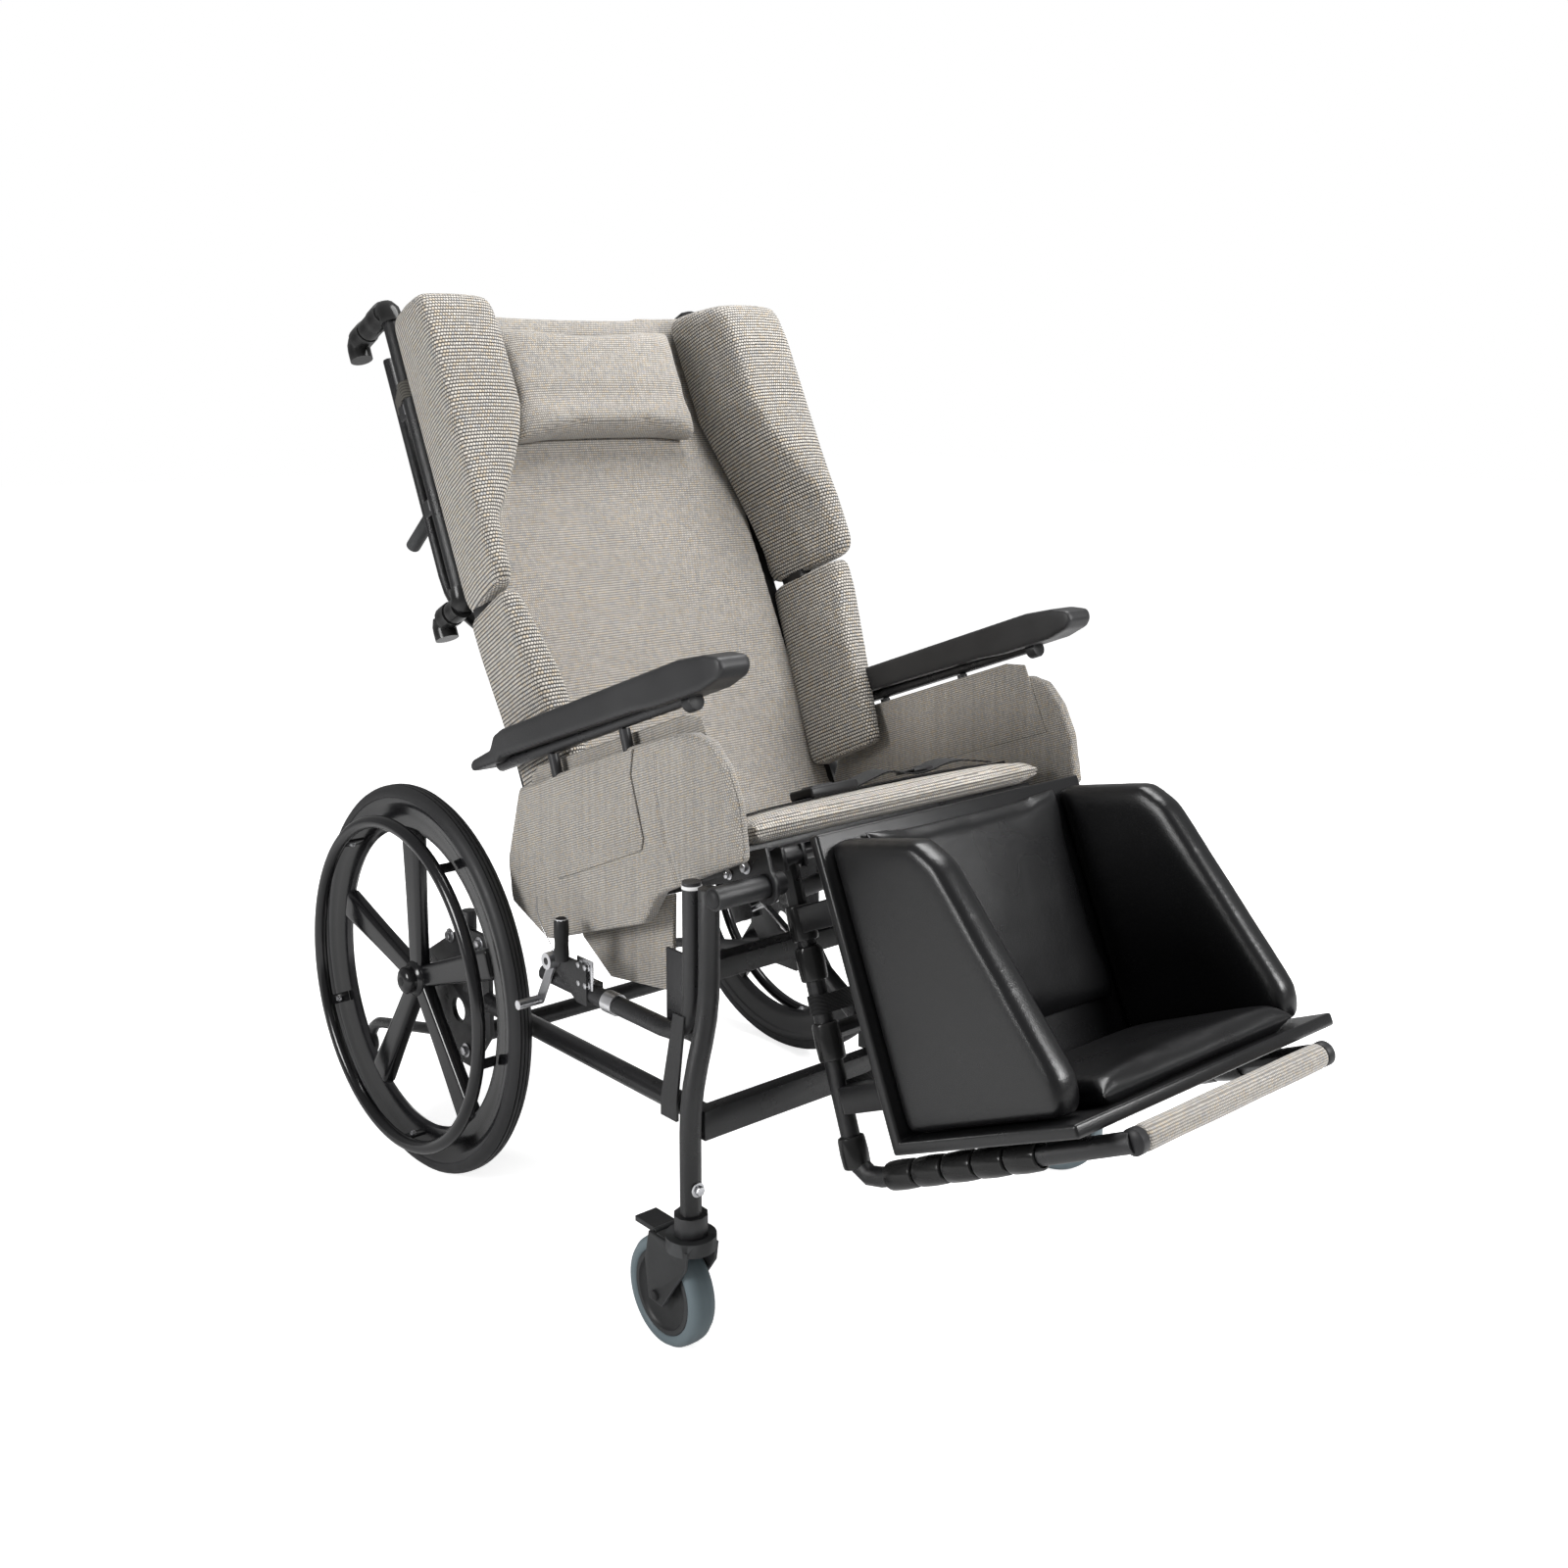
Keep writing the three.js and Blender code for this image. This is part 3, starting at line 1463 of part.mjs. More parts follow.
function buildFootBox() {
  piece(footBox, "foot_box_base", boxBase(), vinyl);
  const calfLength = boxHeight - calfPadFoot;
  const calf = cushion({
    width: calfPadWidth, length: calfLength, thickness: calfPadThickness, crown: legPadCrown,
    across: 8, along: 8,
  });
  calf.rotateX(Math.PI / 2);
  calf.translate(0, -boardThickness - gap - calfPadThickness / 2, calfPadFoot + calfLength / 2);
  piece(footBox, "calf_pad", calf, vinyl);
  const footLength = boxDepth - boardThickness - calfPadThickness - legPadCrown - 2 * gap;
  const foot = cushion({
    width: footPadWidth, length: footLength, thickness: footPadThickness, crown: legPadCrown,
    across: 8, along: 8,
  });
  foot.translate(0, footLength / 2 - boxDepth, boardThickness + gap + footPadThickness / 2);
  piece(footBox, "foot_pad", foot, vinyl);
  const outline = sidePadShares.map(([depth, rise]) => [
    -boardThickness - gap - depth * (boxDepth - boardThickness),
    boardThickness + gap + rise * (boxHeight - boardThickness),
  ]);
  for (const { sign, name } of sides) {
    const pad = slab(outline, sidePadInner, sidePadOuter, sidePadRound);
    piece(footBox, `foot_box_side_${name}`, mirrored(pad, sign), vinyl);
  }
}

// Gas struts: a cylinder on its foot pin and a rod whose eye clears the head pin by a named slack
function strutCylinder(body) {
  const eye = cut(
    rodAcross(0, 0, -strutEyeWidth / 2, strutEyeWidth / 2, strutEyeDiameter, 16),
    rodAcross(0, 0, -strutEyeWidth, strutEyeWidth, boreFor(strutPinDiameter)),
  );
  const neck = rod(at(0, 0, strutEyeDiameter / 2 - gap), at(0, 0, strutBoreFoot - gap), strutEyeWidth);
  const barrel = rod(at(0, 0, strutNeck), at(0, 0, body), strutDiameter, 16);
  const bore = rod(at(0, 0, strutBoreFoot), at(0, 0, body + overrun), boreFor(strutRodDiameter));
  return join(eye, neck, cut(barrel, bore));
}

function strutRod(length, travel) {
  const eye = rodAcross(0, length, -strutEyeWidth / 2, strutEyeWidth / 2, strutEyeDiameter, 16);
  const stem = rod(at(0, 0, strutBoreFoot + travel + runGap), at(0, 0, length), strutRodDiameter);
  const bore = rodAcross(0, length, -strutEyeWidth, strutEyeWidth, strutPinDiameter + 2 * strutSlack);
  return cut(join(eye, stem), bore);
}

function buildStrut(parent, name, x, foot, head, body, travel) {
  const along = head.clone().sub(foot);
  const group = groupAt(parent, x, foot.y, foot.z);
  group.rotation.x = Math.atan2(along.z, along.y) - Math.PI / 2;
  piece(group, `${name}_strut_cylinder`, strutCylinder(body), paint);
  piece(group, `${name}_strut_rod`, strutRod(along.length(), travel), steel);
}

function turnedDown(y, z, angle) {
  return at(0, y, z).applyAxisAngle(at(1, 0, 0), -radians(angle));
}

function buildStruts() {
  const tiltHead = turnedDown(strutHeadY, strutHeadHeight, tiltAngle).add(at(0, tiltAxisY, tiltAxisHeight));
  const tiltFoot = at(0, strutFootY, strutFootHeight);
  buildStrut(chair, "tilt", tiltStrutX, tiltFoot, tiltHead, strutBody, tiltStrutTravel);
  const reclineHead = turnedDown(reclineStrutHeadY, reclineStrutHeadHeight, reclineAngle);
  reclineHead.add(at(0, reclineAxisY, reclineAxisHeight));
  const reclineFoot = at(0, reclineStrutFootY, reclineStrutFootHeight);
  buildStrut(
    seat, "recline", reclineStrutX, reclineFoot, reclineHead, reclineStrutBody, reclineStrutTravel,
  );
}

for (const side of sides) buildRunningGear(side);
buildBase();
buildSeat();
buildBack();
buildLegRest();
buildFootBox();
buildStruts();

// Centred on its own extents, front to rear.
const part = new THREE.Group();
part.add(chair);
const extents = new THREE.Box3().setFromObject(part, true);
chair.position.y = -(extents.min.y + extents.max.y) / 2;

export default part;
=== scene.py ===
import json
import math

import bpy
from bpy.props import FloatProperty, FloatVectorProperty, IntProperty, PointerProperty
from bpy.types import Operator, Panel, PropertyGroup
from mathutils import Matrix, Vector
from mathutils.bvhtree import BVHTree
from mathutils.kdtree import KDTree


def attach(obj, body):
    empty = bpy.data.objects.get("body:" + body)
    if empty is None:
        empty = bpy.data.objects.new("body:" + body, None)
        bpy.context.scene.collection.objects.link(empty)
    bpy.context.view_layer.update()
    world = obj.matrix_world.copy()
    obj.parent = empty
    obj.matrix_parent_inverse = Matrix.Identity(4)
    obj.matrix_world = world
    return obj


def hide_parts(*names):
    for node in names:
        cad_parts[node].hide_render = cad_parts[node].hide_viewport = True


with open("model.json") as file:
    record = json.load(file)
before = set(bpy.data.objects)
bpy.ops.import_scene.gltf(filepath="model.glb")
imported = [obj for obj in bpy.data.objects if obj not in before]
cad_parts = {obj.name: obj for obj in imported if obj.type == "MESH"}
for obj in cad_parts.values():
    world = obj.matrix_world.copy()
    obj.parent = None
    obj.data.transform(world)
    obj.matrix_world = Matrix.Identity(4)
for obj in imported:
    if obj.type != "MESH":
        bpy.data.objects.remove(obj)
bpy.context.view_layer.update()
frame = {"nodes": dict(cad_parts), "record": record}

bl_info = {
    "name": "Tilt in Space Wheelchair",
    "version": (1, 0, 0),
    "blender": (4, 5, 0),
    "location": "3D View > Sidebar > Wheelchair",
    "description": "Dresses a tilt in space wheelchair with wheels, upholstery and hardware",
    "category": "Object",
}

body_of = {
    node: body for body, nodes in frame["record"]["behaviour"]["bodies"].items() for node in nodes
}
slot_of = {part["node"]: part["material_slot"] for part in frame["record"]["subparts"]}

# Places of the chair's own frames. Their sizes are millimetres, the scene's are metres.
AXLE_Y = 462.16461182
PIVOT_Y, PIVOT_Z = -735, 602
TILT, LEAN = 20, 5.6

# How far some parts stand from the chair's middle
SIDE_TUBE_X, LEG_X, ARM_X, BACK_TUBE_X = 354, 222, 328.5, 306
STEM_X, STEM_Y = 388.8, -705.6


def shift(x, y, z):
    return Matrix.Translation((x / 1000, y / 1000, z / 1000))


def lean(degrees):
    return Matrix.Rotation(-math.radians(degrees), 4, "X")


BASE = shift(0, AXLE_Y, 0)
SEAT = BASE @ shift(0, PIVOT_Y, PIVOT_Z) @ lean(TILT)
BACK = SEAT @ shift(0, 504, 45) @ lean(LEAN)
LEG = SEAT @ shift(0, 28, 28)
SIDES = (("right", -1), ("left", 1))
CASTER_TURN = {"right": 0, "left": 33}


def outwards(sign):
    """Turns a bolt's or cap's -x axis away from the chair's middle."""
    return Matrix.Rotation(0 if sign < 0 else math.pi, 4, "Z")


# Modelling steps
def deselect_all():
    active = bpy.context.view_layer.objects.active
    if active and active.mode != "OBJECT":
        bpy.ops.object.mode_set(mode="OBJECT")
    bpy.ops.object.select_all(action="DESELECT")


def take(piece):
    deselect_all()
    piece.select_set(True)
    bpy.context.view_layer.objects.active = piece
    return piece


def new_piece(name):
    piece = bpy.context.object
    piece.name = piece.data.name = name
    return piece


def modify(piece, kind, **settings):
    take(piece)
    modifier = piece.modifiers.new(kind.title(), kind)
    for key, value in settings.items():
        setattr(modifier, key, value)
    bpy.ops.object.modifier_apply(modifier=modifier.name)
    return piece


def settle(piece, place=None):
    take(piece)
    bpy.ops.object.transform_apply(location=True, rotation=True, scale=True)
    if place is not None:
        piece.data.transform(place)
    piece.data.update()
    return piece


def edit(piece, operator, **settings):
    """Runs one mesh operator on the whole of a piece."""
    take(piece)
    bpy.ops.object.mode_set(mode="EDIT")
    bpy.ops.mesh.select_all(action="SELECT")
    operator(**settings)
    bpy.ops.object.mode_set(mode="OBJECT")


def clean(piece, face_outwards=True):
    edit(piece, bpy.ops.mesh.remove_doubles, threshold=0.00002)
    if face_outwards:
        edit(piece, bpy.ops.mesh.normals_make_consistent, inside=False)
    return piece


def eased(piece, width, segments=3, angle=0.7):
    """Rounds a piece's sharp edges, to a width in millimetres."""
    return modify(
        piece, "BEVEL", width=width / 1000, segments=segments, limit_method="ANGLE", angle_limit=angle,
    )


def copied(source, name):
    piece = bpy.data.objects.new(name, source.data.copy())
    piece.data.name = name
    bpy.context.scene.collection.objects.link(piece)
    return piece


def merged_copy(node, look, stem=None):
    """A copy of a solid with its doubled points merged, named for its look."""
    piece = take(copied(frame["nodes"][node], f"{stem or node}_{look}"))
    if piece.data.has_custom_normals:
        bpy.ops.mesh.customdata_custom_splitnormals_clear()
    clean(piece, face_outwards=False)
    piece.data.materials.clear()
    return piece


def joined(pieces, name):
    deselect_all()
    for piece in pieces:
        piece.select_set(True)
    bpy.context.view_layer.objects.active = pieces[0]
    bpy.ops.object.join()
    return new_piece(name)


def carry(piece, body, finish, nodes=(), smooth=40):
    """Smooths a finished piece, gives it its material and lets its body carry it."""
    take(piece)
    bpy.ops.object.shade_smooth_by_angle(angle=math.radians(smooth))
    piece.data.materials.clear()
    piece.data.materials.append(finishes[finish])
    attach(piece, body)
    if nodes:
        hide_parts(*nodes)


def carry_both(piece, body, finish, node=None, smooth=60):
    """Carries a right-hand piece and its mirrored twin. SIDE in a body's name is each one's side."""
    twin = copied(piece, piece.name.replace("right", "left"))
    twin.data.transform(Matrix.Scale(-1, 4, (1, 0, 0)))
    twin.data.flip_normals()
    for side, each in (("right", piece), ("left", twin)):
        nodes = [f"{node}_{side}"] if node else ()
        carry(each, body.replace("SIDE", side), finish, nodes, smooth)


def bent(points, bend):
    """Points along straight runs with a curved bend at each corner."""
    points, steps = [Vector(p) for p in points], 6
    if bend <= 0:
        return points
    path = [points[0]]
    for before, corner, after in zip(points, points[1:], points[2:]):
        back, ahead = before - corner, after - corner
        reach = min(bend, back.length * 0.49, ahead.length * 0.49)
        start, end = corner + back.normalized() * reach, corner + ahead.normalized() * reach
        for i in range(steps + 1):
            t = i / steps
            path.append(start * (1 - t) ** 2 + corner * 2 * t * (1 - t) + end * t * t)
    return path + [points[-1]]


def tube(name, points, diameter, bend, sides, place=None):
    """A round bar along a path, its points and sizes in millimetres."""
    deselect_all()
    bpy.ops.curve.primitive_bezier_curve_add()
    bar = new_piece(name)
    bar.data.splines.clear()
    path = bent(points, bend)
    spline = bar.data.splines.new("POLY")
    spline.points.add(len(path) - 1)
    for knot, p in zip(spline.points, path):
        knot.co = (*(p / 1000), 1)
    bar.data.dimensions = "3D"
    bar.data.bevel_depth = diameter / 2000
    bar.data.bevel_resolution = sides
    bar.data.use_fill_caps = True
    take(bar)
    bpy.ops.object.convert(target="MESH")
    bar = new_piece(name)
    return settle(clean(bar), place)


def spun(name, profile, steps, place=None):
    """A turned piece: a profile of (along, radius) in millimetres, spun round its x axis."""
    deselect_all()
    bpy.ops.mesh.primitive_circle_add(vertices=len(profile), radius=0.1)
    piece = new_piece(name)
    for vertex, (along, radius) in zip(piece.data.vertices, profile):
        vertex.co = (along / 1000, 0, radius / 1000)
    edit(piece, bpy.ops.mesh.spin, steps=steps, angle=2 * math.pi, center=(0, 0, 0), axis=(1, 0, 0))
    clean(piece)
    return settle(piece, place)


def along(start, end):
    """The place of a piece whose x axis runs from one point to another, in millimetres."""
    start, end = Vector(start), Vector(end)
    turn = (end - start).to_track_quat("X", "Z").to_matrix().to_4x4()
    return Matrix.Translation(start / 1000) @ turn


def box(name, low, high, bevel, segments=3, place=None):
    """A bevelled block between two corners, in millimetres."""
    low, high = Vector(low) / 1000, Vector(high) / 1000
    deselect_all()
    bpy.ops.mesh.primitive_cube_add(size=1, location=(low + high) / 2)
    piece = new_piece(name)
    piece.scale = high - low
    settle(piece)
    modify(piece, "BEVEL", width=bevel / 1000, segments=segments, limit_method="NONE")
    return settle(piece, place)


def plate(name, outline, thickness, bevel, place):
    """A flat panel: an outline of (y, z), its thickness along -x, in millimetres."""
    deselect_all()
    bpy.ops.mesh.primitive_circle_add(vertices=len(outline), radius=0.1, fill_type="NGON")
    piece = new_piece(name)
    for vertex, (y, z) in zip(piece.data.vertices, outline):
        vertex.co = (0, y / 1000, z / 1000)
    edit(piece, bpy.ops.mesh.extrude_region_move,
         TRANSFORM_OT_translate={"value": (-thickness / 1000, 0, 0)})
    return settle(eased(clean(piece), bevel, 2, 0.6), place)


def ribbon(name, points, across, width, thickness, bend, place):
    """A flat strap along a path, across being the direction of its width."""
    path, columns = bent(points, bend), 6
    across = Vector(across).normalized()
    deselect_all()
    bpy.ops.mesh.primitive_grid_add(x_subdivisions=len(path) - 1, y_subdivisions=columns, size=1)
    strap = new_piece(name)
    rows = len(path)
    for index, vertex in enumerate(strap.data.vertices):
        i, j = index % rows, index // rows
        vertex.co = (path[i] + across * width * (j / columns - 0.5)) / 1000
    modify(strap, "SOLIDIFY", thickness=thickness / 1000, offset=0)
    clean(strap)
    return settle(strap, place)


def bolt(name, place, size, height):
    """A hex head on a washer, its axis along -x of its place."""
    deselect_all()
    bpy.ops.mesh.primitive_cylinder_add(vertices=6, radius=size / 1732, depth=height / 1000)
    head = new_piece(name)
    head.data.transform(Matrix.Rotation(math.pi / 2, 4, "Y"))
    head.data.transform(shift(-height / 2 - 1, 0, 0))
    eased(head, 0.7, 2, 0.6)
    wide, narrow = size * 0.85, size * 0.75
    washer = spun(name + "_washer", [(0, 0), (0, wide), (-1.2, wide), (-1.6, narrow), (-1.6, 0)], 24)
    return settle(joined([head, washer], name), place)


def heads(place, sign, x, height, spots):
    """Bolts that face outwards, from spots of (y, z, size)."""
    return [
        bolt("head", place @ shift(sign * x, y, z) @ outwards(sign), size, height)
        for y, z, size in spots
    ]


def mirrored(half):
    """A profile followed by its mirror image, along turned to -along."""
    return half + tuple((-a, r) for a, r in reversed(half))


# Soft goods
def swelled(piece, cap):
    """Lets air pressure swell a closed form as sewn cloth, no further than its cap."""
    scene, last_frame = bpy.context.scene, 20
    before = [v.co.copy() for v in piece.data.vertices]
    take(piece)
    cloth = piece.modifiers.new("Cloth", "CLOTH")
    cloth.settings.quality = 4
    cloth.settings.use_pressure = True
    cloth.settings.uniform_pressure_force = scene.wheelchair_cloth.pressure
    cloth.settings.effector_weights.gravity = 0
    cloth.settings.tension_stiffness = 12
    cloth.settings.compression_stiffness = 12
    cloth.settings.bending_stiffness = 6
    cloth.point_cache.frame_start = 1
    cloth.point_cache.frame_end = last_frame
    for number in range(1, last_frame + 1):
        scene.frame_set(number)
    bpy.ops.object.modifier_apply(modifier=cloth.name)
    scene.frame_set(1)
    for vertex, was in zip(piece.data.vertices, before):
        move = vertex.co - was
        if move.length > cap / 1000:
            vertex.co = was + move.normalized() * cap / 1000
    modify(piece, "SMOOTH", factor=0.5, iterations=9)


def filled(piece, voxel, rounds, shrink=0.0, cap=0.0):
    """Remeshes and smooths a form, and swells it if it has a cap. Sizes are millimetres."""
    if shrink:
        for vertex, normal in [(v, v.normal.copy()) for v in piece.data.vertices]:
            vertex.co -= normal * shrink / 1000
    modify(piece, "REMESH", mode="VOXEL", voxel_size=voxel / 1000)
    modify(piece, "SMOOTH", factor=0.5, iterations=rounds)
    if cap:
        swelled(piece, cap)
    return modify(piece, "SUBSURF", levels=1, render_levels=1)


def drawn(path, spacing=2.0):
    """Even steps along a line, in millimetres."""
    steps = []
    for a, b in zip(path, path[1:]):
        a, b = Vector(a), Vector(b)
        count = max(int((b - a).length / spacing), 1)
        steps += [a.lerp(b, i / count) for i in range(count)]
    return steps + [Vector(path[-1])]


def on_surface(piece, place, path, lift=0.0):
    """A line laid on a piece's surface, from points given in millimetres in a frame of the chair."""
    tree = BVHTree.FromPolygons(
        [v.co for v in piece.data.vertices], [p.vertices for p in piece.data.polygons]
    )
    line = []
    for step in drawn(path, 4.0):
        spot, normal, _, _ = tree.find_nearest(place @ (step / 1000))
        line.append((spot + normal * lift / 1000) * 1000)
    return line


def seam(piece, place, path, width, depth):
    """Draws a surface in along a sewn line."""
    steps = drawn(on_surface(piece, place, path))
    tree = KDTree(len(steps))
    for i, step in enumerate(steps):
        tree.insert(step / 1000, i)
    tree.balance()
    for vertex, normal in [(v, v.normal.copy()) for v in piece.data.vertices]:
        away = tree.find(vertex.co)[2] * 1000
        if away < width:
            vertex.co -= normal * depth / 1000 * (1 - (away / width) ** 2) ** 2
    piece.data.update()


# Materials
class Finish:
    """A node material on object coordinates."""

    def __init__(self, name, roughness, metallic=0.0, **sockets):
        self.material = bpy.data.materials.new(name)
        self.material.use_nodes = True
        self.tree = self.material.node_tree
        self.shader = self.tree.nodes["Principled BSDF"]
        self.shader.inputs["Roughness"].default_value = roughness
        self.shader.inputs["Metallic"].default_value = metallic
        for key, value in sockets.items():
            label = key.replace("_", " ").title().replace("Ior", "IOR")
            self.shader.inputs[label].default_value = value
        self.coordinates = self.add("ShaderNodeTexCoord").outputs["Object"]

    def add(self, kind, settings=None, **inputs):
        node = self.tree.nodes.new(kind)
        for key, value in (settings or {}).items():
            setattr(node, key, value)
        for key, value in inputs.items():
            socket = node.inputs[int(key[1:]) if key[0] == "i" and key[1:].isdigit() else key]
            if isinstance(value, bpy.types.NodeSocket):
                self.tree.links.new(value, socket)
            else:
                socket.default_value = value
        return node

    def link(self, output, key):
        self.tree.links.new(output, self.shader.inputs[key])

    def math(self, operation, first, second=0.0):
        return self.add("ShaderNodeMath", {"operation": operation}, i0=first, i1=second).outputs[0]

    def noise(self, scale, detail=4.0, vector=None):
        return self.add(
            "ShaderNodeTexNoise", Vector=vector or self.coordinates, Scale=scale, Detail=detail
        ).outputs["Fac"]

    def ramp(self, value, stops, constant=False):
        node = self.add("ShaderNodeValToRGB", Fac=value)
        node.color_ramp.interpolation = "CONSTANT" if constant else "LINEAR"
        while len(node.color_ramp.elements) < len(stops):
            node.color_ramp.elements.new(0.5)
        for element, (position, colour) in zip(node.color_ramp.elements, stops):
            element.position = position
            element.color = (*colour, 1) if len(colour) == 3 else (colour[0],) * 3 + (1,)
        return node.outputs["Color"]

    def bump(self, height, distance, normal=None):
        inputs = {} if normal is None else {"Normal": normal}
        node = self.add("ShaderNodeBump", Height=height, Distance=distance, **inputs)
        self.link(node.outputs["Normal"], "Normal")
        return node.outputs["Normal"]

    def turned(self, degrees, kind="POINT", vector=None, scale=(1, 1, 1)):
        """Coordinates, or another vector, that follow a leaning part of the chair."""
        return self.add(
            "ShaderNodeMapping", {"vector_type": kind}, Vector=vector or self.coordinates,
            Rotation=(math.radians(degrees), 0, 0), Scale=scale,
        ).outputs["Vector"]

    def worn(self, dark, light):
        """Colour varied by noise, lighter where an edge is rubbed."""
        varied = self.ramp(self.noise(6), [(0.35, dark), (0.7, light)])
        rubbed = self.ramp(
            self.add("ShaderNodeNewGeometry").outputs["Pointiness"], [(0.52, (0,)), (0.6, (0.6,))]
        )
        bare = (*(min(1, 2.2 * c + 0.01) for c in light), 1)
        mix = self.add("ShaderNodeMix", {"data_type": "RGBA"}, i0=rubbed, i6=varied, i7=bare)
        self.link(mix.outputs[2], "Base Color")

    def multiplied(self, colour, *layers):
        for layer in layers:
            colour = self.add(
                "ShaderNodeMix", {"data_type": "RGBA", "blend_type": "MULTIPLY"},
                i0=1.0, i6=colour, i7=layer,
            ).outputs[2]
        return colour


def grained(name, dark, light, roughness, grain_scale, grain, metallic=0.0, spread=0.08, gloss=0.22):
    """Paint, moulded plastic, rubber or plated metal with a fine grain."""
    finish = Finish(name, roughness, metallic, specular_ior_level=0.5 if metallic else gloss)
    finish.worn(dark, light)
    fine = finish.noise(grain_scale, 3.0)
    if grain:
        finish.bump(fine, grain)
    low, high = max(roughness - spread, 0.02), roughness + spread
    finish.link(finish.ramp(finish.noise(24, 6.0), [(0.3, (low,)), (0.7, (high,))]), "Roughness")
    return finish.material


def woven(name, degrees, pitch, shades, bump, gap_shade, streak=0.0):
    """Cloth woven of thick and thin yarns, over and under, on the planes of a leaning part."""
    finish = Finish(name, 0.92, sheen_weight=0.25, sheen_roughness=0.5)
    add, calc = finish.add, finish.math
    flat = finish.turned(degrees)
    wander = add("ShaderNodeTexNoise", Vector=flat, Scale=90.0, Detail=2.0).outputs["Color"]
    drift = add("ShaderNodeVectorMath", {"operation": "SUBTRACT"}, i0=wander, i1=(0.5, 0.5, 0.5))
    small = add("ShaderNodeVectorMath", {"operation": "SCALE"}, i0=drift.outputs[0], Scale=0.0011)
    moved = add("ShaderNodeVectorMath", {"operation": "ADD"}, i0=flat, i1=small.outputs[0])
    split = add("ShaderNodeSeparateXYZ", i0=moved.outputs[0])
    true_normal = add("ShaderNodeNewGeometry").outputs["True Normal"]
    normal = add("ShaderNodeSeparateXYZ", i0=finish.turned(degrees, "NORMAL", true_normal))

    # The weave's two directions, whichever way the surface faces
    sideways = calc("GREATER_THAN", calc("ABSOLUTE", normal.outputs[0]), 0.72)
    level = calc("GREATER_THAN", calc("ABSOLUTE", normal.outputs[2]), 0.72)
    u = add("ShaderNodeMix", i0=sideways, i2=split.outputs[0], i3=split.outputs[1]).outputs[0]
    v = add("ShaderNodeMix", i0=level, i2=split.outputs[2], i3=split.outputs[1]).outputs[0]
    up = calc("DIVIDE", v, pitch[1] / 1000)
    row = calc("FLOOR", up)
    across = calc("ADD", calc("DIVIDE", u, pitch[0] / 1000), calc("MULTIPLY", row, 0.5))

    # Each crossing's yarn, its height and its colour, with painted shade in the low gaps between yarns
    # and painted light on their raised crossings
    cell = add("ShaderNodeCombineXYZ", i0=calc("FLOOR", across), i1=row)
    picked = add("ShaderNodeTexWhiteNoise", {"noise_dimensions": "2D"}, Vector=cell.outputs[0])
    ridge_u, ridge_v = (
        calc("ABSOLUTE", calc("SINE", calc("MULTIPLY", way, math.pi))) for way in (across, up)
    )
    knot = calc("MULTIPLY_ADD", ridge_u, 0.75)
    knot.node.inputs[2].default_value = 0.25
    height = calc("MULTIPLY", knot, ridge_v)
    stops = [(i / len(shades), shade) for i, shade in enumerate(shades)]
    yarn = finish.ramp(picked.outputs["Value"], stops, True)
    # Painted shade and light: the yarn's colour darkens where the weave is low, between the yarns, and
    # lightens on raised crossings
    weave_shading = finish.ramp(height, [(0.14, (gap_shade,)), (0.58, (0.72,)), (0.9, (1.12,))])
    stretched = finish.turned(degrees, scale=(1, 1, 0.03))
    streaks = finish.ramp(
        finish.noise(160.0, 2.0, stretched), [(0.3, (1 - streak,)), (0.7, (1 + streak / 2,))]
    )
    patches = finish.ramp(finish.noise(7.0, 3.0), [(0.25, (0.93,)), (0.75, (1.04,))])
    finish.link(finish.multiplied(yarn, weave_shading, streaks, patches), "Base Color")
    finish.bump(height, bump / 1000)
    return finish.material


def webbing_cloth(name, colour):
    """Ribbed strap webbing."""
    finish = Finish(name, 0.75, sheen_weight=0.08, specular_ior_level=0.2)
    ribs = 1000 / 1.6 / 6.28
    wave = finish.add(
        "ShaderNodeTexWave", {"wave_type": "BANDS", "bands_direction": "DIAGONAL"},
        Vector=finish.coordinates, Scale=ribs, Distortion=0.4,
    ).outputs["Fac"]
    # Painted shade: the webbing is darker in the grooves between its ribs, where the bump is low
    dark = tuple(c * 0.45 for c in colour)
    finish.link(finish.ramp(wave, [(0.2, dark), (0.8, colour)]), "Base Color")
    finish.bump(wave, 0.0005)
    return finish.material


def soft_vinyl(name):
    """Black coated cloth: a fine pebbled grain over slow ripples."""
    finish = Finish(name, 0.3, coat_weight=0.04, coat_roughness=0.25, specular_ior_level=0.38)
    black = [(0.3, (0.005, 0.005, 0.0055)), (0.7, (0.007, 0.007, 0.0075))]
    finish.link(finish.ramp(finish.noise(5, 1.0), black), "Base Color")
    finish.link(finish.ramp(finish.noise(12, 2.0), [(0.3, (0.27,)), (0.7, (0.31,))]), "Roughness")
    pebble = finish.add(
        "ShaderNodeTexVoronoi", Vector=finish.coordinates, Scale=900.0
    ).outputs["Distance"]
    grain = finish.bump(pebble, 0.00012)
    finish.bump(finish.noise(9, 1.0), 0.0006, normal=grain)
    return finish.material


finishes = {}


